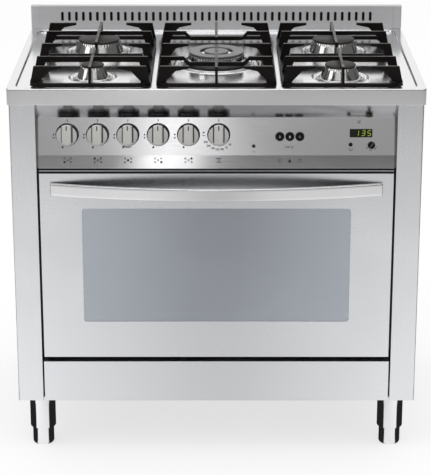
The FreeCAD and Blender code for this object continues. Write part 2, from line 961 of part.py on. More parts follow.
def control_panel():
    # One folded sheet: a reflecting strip under the lip, the leaning face and a skirt.
    body = new_body()
    outer = panel_points()
    inner = [(y + s.sheet, z) for y, z in outer]
    sketch = sketch_on(body, "YZ_Plane")
    outline(sketch, outer + inner[::-1])
    pad(body, sketch, 2 * door_half, side="Symmetric")
    holes = [hole_out(s.shaft_hole, knob_x(index), s.knob_drop) for index in range(6)]
    button_hole = s.button_radius + s.button_hole_fit
    holes += [hole_out(button_hole, button_x(index), s.button_drop) for index in range(3)]
    holes.append(hole_out(s.lamp_radius, s.lamp_x, s.lamp_drop))
    timer_button_hole = s.timer_button_radius + s.button_hole_fit
    holes.append(hole_out(timer_button_hole, timer_button_x, s.timer_button_drop))
    timer_shaft_hole = s.timer_shaft_radius + s.button_hole_fit
    holes.append(hole_out(timer_shaft_hole, timer_knob_x, s.timer_knob_drop))
    holes.append(face_block(clock_x, s.clock_drop, s.clock_width, s.clock_height, s.overrun, s.overrun))
    node(cut(body, *holes), "control_panel")


def face_block(x, drop, width, height, behind, ahead):
    # A block square to the leaning face, reaching behind it and ahead of it.
    item = doc.addObject("Part::Box", "FaceBlock")
    bind(item, Length=width, Width=height, Height=behind + ahead)
    base_y, base_z = on_face(drop, -behind)
    low_y = base_y - sine(s.lean) * height / 2
    low_z = base_z - cosine(s.lean) * height / 2
    return place(item, x - width / 2, low_y, low_z, turns["Out"])


def panel_inserts():
    behind = s.clock_thickness - s.clock_proud
    window = face_block(clock_x, s.clock_drop, s.clock_width, s.clock_height, behind, s.clock_proud)
    node(window, "clock_window")
    y, z = on_face(s.lamp_drop, -s.lamp_tail)
    node(rod(s.lamp_radius, s.lamp_tail + s.lamp_rise, s.lamp_x, y, z, "Out"), "indicator_lamp")


def put_on_face(body, x, drop, distance=0):
    y, z = on_face(drop, distance)
    place(body, x, y, z, turns["Out"])


def knob(label, x):
    # A turned knob with two half-moon flats that leave a bar to grip.
    body = new_body(label)
    bore = s.spindle_radius + s.spindle_fit
    bore_depth = s.spindle_reach + s.spindle_fit
    shoulder = s.knob_length - s.knob_edge
    revolve(body, [(bore, 0), (s.knob_base_radius, 0), (s.knob_base_radius, s.knob_base_height),
                   (s.knob_face_radius, s.knob_base_height), (s.knob_face_radius, shoulder),
                   (s.knob_face_radius - s.knob_edge, s.knob_length), (0, s.knob_length),
                   (0, bore_depth), (bore, bore_depth)])
    flats(body, s.knob_length, s.grip_width, s.knob_base_radius, s.grip_depth)
    put_on_face(body, x, s.knob_drop, s.knob_gap)


def flats(body, length, grip_width, radius, depth):
    sketch = sketch_on(body, "XY_Plane", length)
    for side in (-1, 1):
        near = side * grip_width / 2
        far = side * (radius + grip_width)
        outline(sketch, [(near, -radius), (far, -radius), (far, radius), (near, radius)])
    pocket(body, sketch, depth)


def push_button(label, x, drop, radius):
    # A cap in front of the panel and a flange behind it, which stops it coming out.
    body = new_body(label)
    inside = -s.sheet - s.button_hole_fit
    flange = radius + s.button_flange
    revolve(body, [(0, s.button_rise), (radius, s.button_rise), (radius, inside), (flange, inside),
                   (flange, -s.button_tail), (0, -s.button_tail)])
    put_on_face(body, x, drop)


def timer_knob():
    body = new_body("timer_knob")
    radius = s.timer_knob_radius
    shaft = s.timer_shaft_radius
    revolve(body, [(0, -s.button_tail), (shaft, -s.button_tail), (shaft, s.knob_gap), (radius, s.knob_gap),
                   (radius, s.timer_knob_length), (0, s.timer_knob_length)])
    flats(body, s.timer_knob_length, s.timer_grip_width, radius, s.timer_grip_depth)
    put_on_face(body, timer_knob_x, s.timer_knob_drop)


def controls():
    labels = ["knob_" + name for name in knob_order] + ["oven_knob"]
    for index, label in enumerate(labels):
        knob(label, knob_x(index))
    for index, label in enumerate(["button_light", "button_grill", "button_ignition"]):
        push_button(label, button_x(index), s.button_drop, s.button_radius)
    push_button("timer_button", timer_button_x, s.timer_button_drop, s.timer_button_radius)
    timer_knob()


def side_panels():
    # Folded side sheets: a wide pillar at the front, its return, and a flange at the rear.
    for side, label in ((-1, "side_panel_left"), (1, "side_panel_right")):
        body = new_body(label)
        outer = side * body_half
        inner = side * (body_half - s.sheet)
        gate = side * opening_half
        gate_outer = side * (opening_half + s.sheet)
        rear_edge = side * (body_half - s.rear_flange)
        fold = body_front + s.sheet
        sketch = sketch_on(body, "XY_Plane", s.foot_height)
        bend = s.pillar_bend
        outline(sketch, [(outer - side * bend, body_front), (outer, body_front + bend),
                         (outer, body_rear), (rear_edge, body_rear),
                         (rear_edge, body_rear - s.sheet), (inner, body_rear - s.sheet), (inner, fold),
                         (gate_outer, fold), (gate_outer, flange_front), (gate, flange_front),
                         (gate, body_front)])
        pad(body, sketch, body_top - s.foot_height)


def back_panel():
    inner = body_half - s.sheet
    sheet_back = back_sheet_front + s.sheet
    panel = slab(-inner, inner, back_sheet_front, sheet_back, s.foot_height, body_top)
    hole = rod(s.manifold_radius + s.cup_fit, 2 * s.overrun, inlet_x,
               back_sheet_front - s.overrun, manifold_line()[1], "Y")
    node(cut(panel, hole), "back_panel")


def base_pan():
    # The bottom sheet, turned up at its sides.
    inner = body_half - s.sheet
    low = s.foot_height
    floor = slab(-inner, inner, flange_front, back_sheet_front, low, low + s.sheet)
    rims = []
    for side in (-1, 1):
        edge = side * inner
        inside = side * (inner - s.sheet)
        x0, x1 = (edge, inside) if side < 0 else (inside, edge)
        rims.append(slab(x0, x1, flange_front, back_sheet_front, low, low + s.pan_rim))
    node(fuse(floor, *rims), "base_pan")


def foot_places():
    near = body_front + s.foot_inset_y
    far = body_rear - s.foot_inset_y
    across = half_width - s.foot_inset_x
    return [(x, y) for x in (-across, across) for y in (near, far)]


def feet():
    # Each foot is a sleeve under the body and a leg that screws into it.
    sleeves = []
    legs = []
    bottom = s.foot_height - s.sleeve_length
    bore = s.leg_radius + s.leg_fit
    ceiling = s.foot_height - s.sleeve_roof
    for x, y in foot_places():
        sleeve = new_body()
        revolve(sleeve, [(bore, bottom), (s.sleeve_radius - s.leg_fit, bottom),
                         (s.sleeve_radius, bottom + s.sleeve_bevel), (s.sleeve_radius, s.foot_height),
                         (0, s.foot_height), (0, ceiling), (bore, ceiling)])
        place(sleeve, x, y)
        sleeves.append(sleeve)
        leg = new_body()
        revolve(leg, [(0, 0), (s.leg_radius - s.leg_round, 0), (s.leg_radius, s.leg_round),
                      (s.leg_radius, ceiling), (0, ceiling)])
        place(leg, x, y)
        legs.append(leg)
    node(group(*sleeves), "foot_sleeves")
    node(group(*legs), "foot_legs")


def door_panel():
    # The outer steel tray of the door, with its window opening and slots for the hinge arms.
    body = new_body()
    back = body_front + s.door_fold
    sketch = sketch_on(body, "XZ_Plane", -back)
    outline(sketch, [(-door_half, door_bottom), (door_half, door_bottom),
                     (door_half, door_top), (-door_half, door_top)])
    pad(body, sketch, s.door_fold)
    inner = door_half - s.sheet
    sketch = sketch_on(body, "XZ_Plane", -back)
    outline(sketch, [(-inner, door_bottom + s.sheet), (inner, door_bottom + s.sheet),
                     (inner, door_top - s.sheet), (-inner, door_top - s.sheet)])
    pocket(body, sketch, s.door_fold - s.sheet, back=True)
    sketch = sketch_on(body, "XZ_Plane", -back)
    rounded(sketch, -window_half, window_half, window_low, window_high, s.window_corner)
    pocket(body, sketch, s.door_fold + s.overrun, back=True)
    node(cut(body, *hinge_slots()), "door_panel")


def hinge_slots():
    # The room that each hinge arm sweeps through the door as it opens.
    slots = []
    half = s.hinge_slot_width / 2
    hinge_y, hinge_z = hinge_axis()
    for x in (-hinge_x, hinge_x):
        slots.append(slab(x - half, x + half, hinge_y - s.hinge_eye_radius - half, door_back,
                          door_bottom - s.overrun, hinge_z + s.hinge_eye_radius + s.hinge_pin_radius))
    return slots


def hinge_axis():
    return body_front + s.hinge_depth, door_bottom + s.hinge_rise


def door_glasses():
    half = window_half + s.glass_overlap
    near = body_front + s.sheet
    node(slab(-half, half, near, near + s.glass_thickness, window_low - s.glass_overlap,
              window_high + s.glass_overlap), "door_glass")
    half = window_half - s.inner_window_side + s.inner_glass_overlap
    low = window_low + s.inner_window_edge
    high = window_high - s.inner_window_edge
    far = door_back - s.sheet
    node(slab(-half, half, far - s.glass_thickness, far, low - s.inner_glass_overlap,
              high + s.inner_glass_overlap), "door_inner_glass")


def door_inner_frame():
    # The enamelled inner side of the door: a flat rim, and a raised box that meets the seal.
    near = body_front + s.door_fold
    half = door_half - s.inner_frame_inset
    low = door_bottom + s.inner_frame_rise
    high = door_top - s.inner_frame_inset
    rim = slab(-door_half, door_half, near, near + s.sheet, door_bottom, door_top)
    raised = slab(-half, half, near, door_back, low, high)
    hollow = slab(s.sheet - half, half - s.sheet, near - s.overrun, door_back - s.sheet, low + s.sheet,
                  high - s.sheet)
    opening = window_half - s.inner_window_side
    window = slab(-opening, opening, near - s.overrun, door_back + s.overrun,
                  window_low + s.inner_window_edge, window_high - s.inner_window_edge)
    node(cut(fuse(rim, raised), hollow, window, *hinge_slots()), "door_inner_frame")


def door_handle():
    # A flat bar bowed outwards, cut off square at its ends and held by two posts.
    bow = s.handle_reach + s.body_setback - s.handle_thickness
    span = door_half - s.handle_inset
    radius = (span * span + bow * bow) / (2 * bow)
    low = door_top - s.handle_drop - s.handle_height / 2
    centre_y = front - s.handle_reach + radius
    outer = rod(radius, s.handle_height, 0, centre_y, low)
    inner = rod(radius - s.handle_thickness, s.handle_height + 2 * s.overrun, 0, centre_y, low - s.overrun)
    keep = slab(-span, span, front - s.handle_reach - s.overrun, body_front, low, low + s.handle_height)
    bar = common(cut(outer, inner), keep)
    posts = []
    for x in (s.handle_post_inset - span, span - s.handle_post_inset):
        posts.append(rod(s.handle_post_radius, s.handle_thickness, x, body_front - s.handle_thickness,
                         low + s.handle_height / 2, "Y"))
    node(fuse(bar, *posts), "door_handle")


def door_hinges():
    # Arms that stay hooked in the oven's front, and bodies with pins that turn with the door.
    hinge_y, hinge_z = hinge_axis()
    arms = []
    bodies = []
    arm_half = s.hinge_arm_width / 2
    body_half_width = s.hinge_body_width / 2
    slot_half = s.hinge_slot_width / 2
    half_height = s.hinge_arm_height / 2
    reach = s.hinge_eye_radius + s.hinge_pin_radius
    for x in (-hinge_x, hinge_x):
        bar = slab(x - arm_half, x + arm_half, hinge_y, flange_front + s.hinge_arm_length,
                   hinge_z - half_height, hinge_z + half_height)
        eye = rod(s.hinge_eye_radius, s.hinge_arm_width, x - arm_half, hinge_y, hinge_z, "X")
        bore = rod(s.hinge_pin_radius + s.hinge_pin_fit, s.hinge_arm_width + 2 * s.overrun,
                   x - arm_half - s.overrun, hinge_y, hinge_z, "X")
        arms.append(cut(fuse(bar, eye), bore))
        low = door_bottom + s.sheet
        case = slab(x - body_half_width, x + body_half_width, body_front + s.sheet,
                    body_front + s.door_fold, low, low + s.hinge_body_height)
        room = slab(x - slot_half, x + slot_half, hinge_y - s.hinge_eye_radius - slot_half,
                    door_back, low - s.overrun, hinge_z + reach)
        pin = rod(s.hinge_pin_radius, s.hinge_body_width, x - body_half_width, hinge_y, hinge_z, "X")
        bodies.append(fuse(cut(case, room), pin))
    node(group(*arms), "door_hinge_arms")
    node(group(*bodies), "door_hinge_bodies")


def oven_liner():
    # The enamelled cavity, its front flange and the two welded boxes that take the hinge arms.
    gauge = s.sheet
    flange_half = opening_half + s.flange_margin
    flange_back = flange_front + gauge
    hinge_z = hinge_axis()[1]
    flange_low = drawer_top + s.flange_margin / 2
    plate_front = slab(-flange_half, flange_half, flange_front, flange_back, flange_low, panel_bottom)
    shell = slab(-cavity_half - gauge, cavity_half + gauge, flange_front, cavity_rear + gauge,
                 cavity_bottom - gauge, cavity_top + gauge)
    solids = [plate_front, shell]
    tools = [slab(-cavity_half, cavity_half, flange_front - s.overrun, cavity_rear, cavity_bottom,
                  cavity_top)]
    arm_low = hinge_z - s.hinge_arm_height / 2
    arm_high = hinge_z + s.hinge_arm_height / 2
    arm_half = s.hinge_arm_width / 2
    box_half = s.receiver_width / 2
    for x in (-hinge_x, hinge_x):
        solids.append(slab(x - box_half, x + box_half, flange_front, flange_back + s.receiver_depth,
                           hinge_z - s.receiver_height / 2, hinge_z + s.receiver_height / 2))
        tools.append(slab(x - arm_half, x + arm_half, flange_front - s.overrun,
                          flange_front + s.hinge_arm_length, arm_low, arm_high))
    lamp_z = cavity_top - s.oven_lamp_drop
    lamp_x = cavity_half - s.oven_lamp_inset
    tools.append(rod(s.oven_lamp_radius, 2 * s.overrun, lamp_x, cavity_rear - s.overrun, lamp_z, "Y"))
    node(cut(fuse(*solids), *tools), "oven_liner")


def door_seal():
    near = door_back + s.seal_clearance
    outer = slab(-cavity_half - s.seal_width, cavity_half + s.seal_width, near, flange_front,
                 cavity_bottom - s.seal_width, cavity_top + s.seal_width)
    inner = slab(-cavity_half, cavity_half, near - s.overrun, flange_front + s.overrun, cavity_bottom,
                 cavity_top)
    node(cut(outer, inner), "door_seal")


def rung_z(index):
    span = cavity_top - cavity_bottom - s.ladder_first_rung - s.ladder_top_gap
    return cavity_bottom + s.ladder_first_rung + index * (span / (s.ladder_rung_count - 1))


def shelf_ladders():
    # Wire racks on both side walls, with rungs that carry the shelf and the tray.
    racks = []
    near = flange_front + s.ladder_inset
    far = cavity_rear - s.ladder_inset
    radius = s.ladder_rod
    rung_count = sizes["ladder_rung_count"]
    reach = s.ladder_rung_reach
    for side in (-1, 1):
        wall = side * (cavity_half - radius)
        inside = side * (cavity_half - reach)
        wires = []
        for y in (near, far):
            height = rung_z(rung_count - 1) - rung_z(0) + s.ladder_inset
            wires.append(rod(radius, height, wall, y, rung_z(0) - s.ladder_inset / 2))
        for index in range(rung_count):
            z = rung_z(index)
            wires.append(rod(radius, far - near, inside, near, z, "Y"))
            for y in (near, far):
                low_x = inside if side > 0 else wall
                wires.append(rod(radius, reach - radius, low_x, y, z, "X"))
        racks.append(fuse(*wires))
    node(group(*racks), "shelf_ladders")


def wire_shelf():
    # A frame of heavy wire with thin bars from front to back, lying on the third rung.
    z = rung_z(2) + s.ladder_rod + s.shelf_wire
    half = cavity_half - s.ladder_rung_reach + s.ladder_rod / 2
    near = flange_front + s.ladder_inset
    far = cavity_rear - s.ladder_inset - s.shelf_rear_gap
    wire = s.shelf_wire
    wires = [rod(wire, 2 * half, -half, near, z, "X"), rod(wire, 2 * half, -half, far, z, "X")]
    for x in (-half, half):
        wires.append(rod(wire, far - near, x, near, z, "Y"))
    count = sizes["shelf_bar_count"]
    for index in range(count):
        x = half * ((2 * index - count + 1) / (count + 1))
        wires.append(rod(s.shelf_bar, far - near, x, near, z, "Y"))
    node(fuse(*wires), "wire_shelf")


def drip_tray():
    # An enamelled tray whose rim lies on the lowest rung.
    rim_z = rung_z(0) + s.ladder_rod
    rim_half = cavity_half - s.ladder_rung_reach + s.ladder_rod / 2
    half = rim_half - s.tray_rim
    near = flange_front + s.ladder_inset
    far = cavity_rear - s.ladder_inset
    gauge = s.tray_sheet
    low = rim_z + gauge - s.tray_height
    rim = slab(-rim_half, rim_half, near, far, rim_z, rim_z + gauge)
    pan = slab(-half, half, near + s.tray_rim, far - s.tray_rim, low, rim_z + gauge)
    hollow = slab(gauge - half, half - gauge, near + s.tray_rim + gauge, far - s.tray_rim - gauge,
                  low + gauge, rim_z + s.overrun)
    node(cut(fuse(rim, pan), hollow), "drip_tray")


def oven_burner():
    # A tube burner on two saddles on the cavity's floor.
    radius = s.burner_tube_radius
    z = cavity_bottom + s.burner_tube_rise + radius
    start = flange_front + s.burner_tube_front_gap
    tube = rod(radius, cavity_rear - start, 0, start, z, "Y")
    saddles = []
    for y in (start + radius, cavity_rear - s.burner_saddle_inset):
        saddles.append(slab(-radius, radius, y, y + radius, cavity_bottom, z))
    node(fuse(tube, *saddles), "oven_burner")


def grill_element():
    # A sheathed heating rod, bent once, hung from the cavity's roof by clips.
    radius = s.grill_rod_radius
    bend = s.grill_bend_radius
    z = cavity_top - s.grill_drop
    start = flange_front + s.grill_front_gap + bend
    parts = [rod(radius, cavity_rear - start, x, start, z, "Y") for x in (-bend, bend)]
    curve = doc.addObject("Part::Torus", "Bend")
    bind(curve, Radius1=bend, Radius2=radius)
    curve.Angle3 = 180
    place(curve, 0, start, z, ((0, 0, 1), 180))
    parts.append(curve)
    clip = s.grill_clip / 2
    for x in (-bend, bend):
        parts.append(slab(x - clip, x + clip, start + bend, start + bend + s.grill_clip, z, cavity_top))
    node(fuse(*parts), "grill_element")


def oven_lamp():
    # A glass dome inside the cavity, and its holder through the rear wall.
    lamp_z = cavity_top - s.oven_lamp_drop
    lamp_x = cavity_half - s.oven_lamp_inset
    holder = rod(s.oven_lamp_radius, s.oven_lamp_tail, lamp_x, cavity_rear, lamp_z, "Y")
    dome = doc.addObject("Part::Cone", "Dome")
    bind(dome, Radius1=s.oven_lamp_radius - s.sheet, Radius2=s.oven_lamp_radius / 2,
         Height=s.oven_lamp_dome)
    place(dome, lamp_x, cavity_rear, lamp_z, ((1, 0, 0), 90))
    node(fuse(holder, dome), "oven_lamp")


def manifold_line():
    # Y and Z of the manifold's axis, behind the taps.
    return on_face(s.knob_drop, -s.manifold_distance)


def gas_manifold():
    # One steel pipe: across behind the taps, round the corner and out through the back.
    y, z = manifold_line()
    radius = s.manifold_radius
    start = first_knob_x - s.manifold_end
    across = rod(radius, inlet_x - start, start, y, z, "X")
    corner = ball(radius, inlet_x, y, z)
    thread_start = back_sheet_front + s.sheet
    back = rod(radius, thread_start - y, inlet_x, y, z, "Y")
    thread = rod(s.inlet_radius, s.inlet_reach, inlet_x, thread_start, z, "Y")
    bore = rod(s.inlet_bore_radius, 2 * s.inlet_reach, inlet_x, thread_start, z, "Y")
    node(cut(fuse(across, corner, back, thread), bore), "gas_manifold")


def gas_taps():
    # One tap behind each knob: a brass block against the manifold, and a spindle.
    taps = []
    for index in range(6):
        x = knob_x(index)
        reach = s.manifold_distance - s.manifold_radius
        block = face_block(x, s.knob_drop, s.tap_size, s.tap_size, reach, -s.tap_start)
        y, z = on_face(s.knob_drop, -s.tap_start)
        spindle = rod(s.spindle_radius, s.tap_start + s.knob_gap + s.spindle_reach, x, y, z, "Out")
        taps.append(fuse(block, spindle))
    node(group(*taps), "gas_taps")


def burner_pipes():
    # An aluminium pipe from each tap's top up to its burner cup.
    pipes = []
    radius = s.tap_pipe_radius
    elbow = s.tap_pipe_elbow
    ceiling = hob - s.sheet - s.cup_height
    middle = s.manifold_distance - s.manifold_radius - s.tap_size / 2
    tap_y, tap_z = on_face(s.knob_drop, -middle)
    for index, name in enumerate(knob_order):
        x, y = burners[name][0], burners[name][1]
        low = tap_z + (s.tap_size / 2) / cosine(s.lean) + radius * lean_run
        level = ceiling - 2 * elbow - index * s.tap_pipe_step
        start_x = knob_x(index)
        rise = rod(radius, level - low, start_x, tap_y, low)
        sideways = x - start_x
        length = sideways if sideways.value > 0 else -sideways
        first_x = start_x if sideways.value > 0 else x
        across = rod(radius, length, first_x, tap_y, level, "X")
        along = rod(radius, y - tap_y, x, tap_y, level, "Y")
        end = rod(radius, ceiling - level, x, y, level)
        corners = [(start_x, tap_y), (x, tap_y), (x, y)]
        balls = [ball(elbow, corner_x, corner_y, level) for corner_x, corner_y in corners]
        pipes.append(fuse(rise, across, along, end, *balls))
    node(group(*pipes), "burner_pipes")


def ball(radius, x, y, z):
    item = doc.addObject("Part::Sphere", "Ball")
    bind(item, Radius=radius)
    return place(item, x, y, z)


def terminal_box():
    # The covered mains terminal block on the back, with a cable gland that points down.
    near = back_sheet_front + s.sheet
    half = s.terminal_width / 2
    terminal_x = s.terminal_inset - body_half
    box = slab(terminal_x - half, terminal_x + half, near, near + s.terminal_depth, s.terminal_z,
               s.terminal_z + s.terminal_height)
    gland_y = near + s.terminal_depth / 2
    gland = rod(s.gland_radius, s.gland_length, terminal_x, gland_y, s.terminal_z - s.gland_length)
    bore = rod(s.gland_bore_radius, 2 * s.gland_length, terminal_x, gland_y,
               s.terminal_z - s.gland_length)
    node(cut(fuse(box, gland), bore), "terminal_box")


def drawer():
    # A folded front, and a sheet box whose wings ride on the two runners.
    half = opening_half - s.drawer_side_gap
    near = body_front
    far = near + s.drawer_front_depth
    low = s.foot_height
    gauge = s.drawer_sheet
    outer = slab(-half, half, near, far, low, drawer_top)
    hollow = slab(gauge - half, half - gauge, near + s.sheet, far + s.overrun, low + gauge,
                  drawer_top - gauge)
    back_plate = slab(gauge - half, half - gauge, far - gauge, far, low + gauge, drawer_top - gauge)
    node(fuse(cut(outer, hollow), back_plate), "drawer_front")
    side = drawer_side
    floor = low + s.drawer_box_rise
    crest = floor + s.drawer_box_height
    end = drawer_end
    box = slab(-side, side, far, end, floor, crest)
    inside = slab(gauge - side, side - gauge, far + gauge, end - gauge, floor + gauge, crest + s.overrun)
    wing_z = low + s.drawer_wing_rise
    wing_out = side + s.runner_width - gauge
    wings = slab(-wing_out, wing_out, flange_front, end, wing_z, wing_z + gauge)
    clear = slab(gauge - side, side - gauge, far, end + s.overrun, wing_z - s.overrun, wing_z + s.overrun)
    node(fuse(cut(box, inside), cut(wings, clear)), "drawer_box")


def drawer_runners():
    runners = []
    near = flange_front
    far = drawer_end
    low = s.foot_height + s.sheet
    high = s.foot_height + s.drawer_wing_rise - s.runner_gap
    inner = drawer_side + s.runner_gap
    outer = inner + s.runner_width
    for side in (-1, 1):
        x0, x1 = (side * outer, side * inner) if side < 0 else (side * inner, side * outer)
        runners.append(slab(x0, x1, near, far, low, high))
    node(group(*runners), "drawer_runners")


def write_parts():
    doc.recompute()
    for item in doc.Objects:
        if "Invalid" in item.State or "Error" in item.State:
            raise RuntimeError(f"{item.Name} {item.Label} failed: {item.State}")
    os.makedirs("parts", exist_ok=True)
    for item in nodes:
        if item.Shape.isNull() or not item.Shape.isValid():
            raise RuntimeError("no valid shape in " + item.Label)
    for item in nodes:
        item.Shape.exportStep(f"parts/{item.Label}.step")
        print(item.Label, len(item.Shape.Solids), "solids", round(item.Shape.Volume / 1000, 1), "cm3")


worktop()
splashback()
splashback_end_caps()
burner_cups()
burner_crowns()
burner_caps()
spark_electrodes()
for support_label, support_x, over_wok in (("pan_support_left", -column_pitch, False),
                                           ("pan_support_centre", 0, True),
                                           ("pan_support_right", column_pitch, False)):
    pan_support(support_label, support_x, over_wok)
control_panel()
panel_inserts()
controls()
side_panels()
back_panel()
base_pan()
feet()
door_panel()
door_glasses()
door_inner_frame()
door_handle()
door_hinges()
oven_liner()
door_seal()
shelf_ladders()
wire_shelf()
drip_tray()
oven_burner()
grill_element()
oven_lamp()
gas_manifold()
gas_taps()
burner_pipes()
terminal_box()
drawer()
drawer_runners()
write_parts()
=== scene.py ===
import json
import math

import bmesh
import bpy
import numpy as np
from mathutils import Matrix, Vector
from mathutils.geometry import delaunay_2d_cdt


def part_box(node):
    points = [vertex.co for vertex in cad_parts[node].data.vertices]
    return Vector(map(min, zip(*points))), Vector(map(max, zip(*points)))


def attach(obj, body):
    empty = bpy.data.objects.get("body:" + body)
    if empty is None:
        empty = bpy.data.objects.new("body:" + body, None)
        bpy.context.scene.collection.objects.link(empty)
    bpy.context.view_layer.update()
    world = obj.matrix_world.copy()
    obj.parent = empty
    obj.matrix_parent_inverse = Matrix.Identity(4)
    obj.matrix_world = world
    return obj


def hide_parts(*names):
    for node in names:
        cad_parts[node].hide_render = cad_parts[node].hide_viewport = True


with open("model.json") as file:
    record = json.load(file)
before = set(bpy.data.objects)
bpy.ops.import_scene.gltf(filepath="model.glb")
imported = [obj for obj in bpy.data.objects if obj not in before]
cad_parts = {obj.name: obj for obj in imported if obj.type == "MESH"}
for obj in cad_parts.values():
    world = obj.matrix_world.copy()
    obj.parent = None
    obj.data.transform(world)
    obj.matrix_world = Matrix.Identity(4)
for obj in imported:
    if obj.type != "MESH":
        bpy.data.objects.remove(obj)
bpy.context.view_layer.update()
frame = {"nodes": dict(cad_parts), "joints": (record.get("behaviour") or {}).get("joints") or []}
print("frame loaded:", len(frame["nodes"]), "nodes")

mm = 0.001  # Shapes are worked out in millimetres and stored in metres.
tau = 2 * math.pi
burnerNames = ("front_left", "rear_left", "centre", "rear_right", "front_right")
knobNames = ("knob_front_left", "knob_rear_left", "knob_centre", "knob_front_right", "knob_rear_right",
    "oven_knob")
buttonNames = ("button_light", "button_grill", "button_ignition")
joints = {joint["name"]: joint for joint in frame["joints"]}


def nodeBox(name):
    # Lowest and highest corner of a CAD node, in millimetres.
    low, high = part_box(name)
    return np.array(low) / mm, np.array(high) / mm


def jointPlace(name):
    # The point that a knob turns about, in millimetres.
    return np.array(joints[name + "_turn"]["pos_m"]) / mm


# Shader nodes and groups

def addNode(tree, kind, inputs=None, **settings):
    # One node: settings are its properties, inputs are values or the sockets to link from.
    node = tree.nodes.new("ShaderNode" + kind)
    for key, value in settings.items():
        setattr(node, key, value)
    for key, value in (inputs or {}).items():
        if isinstance(value, bpy.types.NodeSocket):
            tree.links.new(value, node.inputs[key])
        else:
            node.inputs[key].default_value = value
    return node


def calc(tree, operation, *values):
    # A Math node on numbers or sockets.
    return addNode(tree, "Math", dict(enumerate(values)), operation=operation).outputs[0]


def spread(tree, value, low, high, start=0.0, end=1.0, **settings):
    # Carries a value from the range start to end into the range low to high.
    return addNode(tree, "MapRange", {0: value, 1: start, 2: end, 3: low, 4: high}, **settings).outputs[0]


def mixValues(tree, factor, low, high):
    return addNode(tree, "Mix", {"Factor": factor, 2: low, 3: high}, data_type="FLOAT").outputs[0]


def mixColors(tree, mask, dark, light):
    dark, light = [color if isinstance(color, bpy.types.NodeSocket) else (*color, 1)
        for color in (dark, light)]
    return addNode(tree, "Mix", {"Factor": mask, 6: dark, 7: light}, data_type="RGBA").outputs[2]


def splitPlace(tree, kind="Object"):
    # A texture coordinate, and its X, Y and Z.
    place = addNode(tree, "TexCoord").outputs[kind]
    return place, *addNode(tree, "SeparateXYZ", {0: place}).outputs


def feed(tree, node, **sockets):
    # Links sockets to a node's inputs by their names.
    for key, value in sockets.items():
        tree.links.new(value, node.inputs[key.replace("_", " ")])


def noise(tree, place, size, detail, **more):
    return addNode(tree, "TexNoise", {"Vector": place, "Scale": size, "Detail": detail, **more}).outputs[0]


def newGroup(name, inputs, outputs):
    # A group with inputs of a kind and value by name; gives its coordinate, inputs and output node too.
    group = bpy.data.node_groups.new(name, "ShaderNodeTree")
    for label, (kind, value) in inputs.items():
        socket = group.interface.new_socket(name=label, in_out="INPUT", socket_type="NodeSocket" + kind)
        socket.default_value = value
    for label in outputs:
        group.interface.new_socket(name=label, in_out="OUTPUT", socket_type="NodeSocketFloat")
    given = group.nodes.new("NodeGroupInput").outputs
    return group, addNode(group, "TexCoord").outputs["Object"], given, group.nodes.new("NodeGroupOutput")


def makeGrainGroup():
    # Noise drawn out along one axis: Shade is the broad streaks, Height the fine scratches.
    group, place, given, result = newGroup("brushedGrain",
        {"Stretch": ("Vector", (1, 1, 1)), "Fine": ("Float", 4)}, ("Shade", "Height"))
    drawn = addNode(group, "Mapping", {"Vector": place, "Scale": given["Stretch"]}).outputs[0]
    feed(group, result, Shade=noise(group, drawn, 1, 3, Roughness=0.7),
        Height=noise(group, drawn, given["Fine"], 2, Roughness=0.6))
    return group


def makeCloudGroup():
    # Soft patches, as wiping leaves on steel and glass.
    group, place, given, result = newGroup("softPatches",
        {"Size": ("Float", 6), "Low": ("Float", 0.35), "High": ("Float", 0.7)}, ("Mask",))
    cloud = noise(group, place, given["Size"], 4, Distortion=0.4)
    feed(group, result, Mask=spread(group, cloud, 0, 1, given["Low"], given["High"],
        interpolation_type="SMOOTHSTEP"))
    return group


def makeGritGroup():
    # Small uneven bumps of a casting or an enamel, and a mask of its specks.
    group, place, given, result = newGroup("castGrit", {"Size": ("Float", 600), "Specks": ("Float", 0.68)},
        ("Height", "Mask"))
    grit = noise(group, place, given["Size"], 3)
    feed(group, result, Height=grit, Mask=calc(group, "GREATER_THAN", grit, given["Specks"]))
    return group


grainGroup, cloudGroup, gritGroup = makeGrainGroup(), makeCloudGroup(), makeGritGroup()


# Materials

materials = {}
finish = {"noiseMiddle": (0.3, 0.7), "fineGrain": 3.7, "sheetPatch": 5.0, "coatPatch": 14.0,
    "glassPatch": 3.5, "wearHighlightPatch": {"Size": 60.0, "Low": 0.3, "High": 0.6}, "coatUneven": 0.06,
    "plainUneven": 0.05, "plainTone": 0.15, "glassTone": 1.06, "coatGloss": 0.12, "bumpDepth": 0.0002,
    "skinDepth": 0.0001}


def newMaterial(name, **sockets):
    # A Principled material with its even values on the shader's own sockets.
    material = bpy.data.materials.new(name)
    material.use_nodes = True
    shader = material.node_tree.nodes["Principled BSDF"]
    for key, value in sockets.items():
        shader.inputs[key.replace("_", " ")].default_value = value
    materials[name] = material
    return material.node_tree, shader


def useGroup(tree, group, **values):
    node = addNode(tree, "Group", node_tree=group)
    for key, value in values.items():
        node.inputs[key].default_value = value
    return node.outputs


def shaded(color, share):
    return tuple(channel * share for channel in color)


def addBump(tree, shader, height, strength, distance=finish["bumpDepth"]):
    values = {"Height": height, "Strength": strength, "Distance": distance}
    feed(tree, shader, Normal=addNode(tree, "Bump", values).outputs[0])


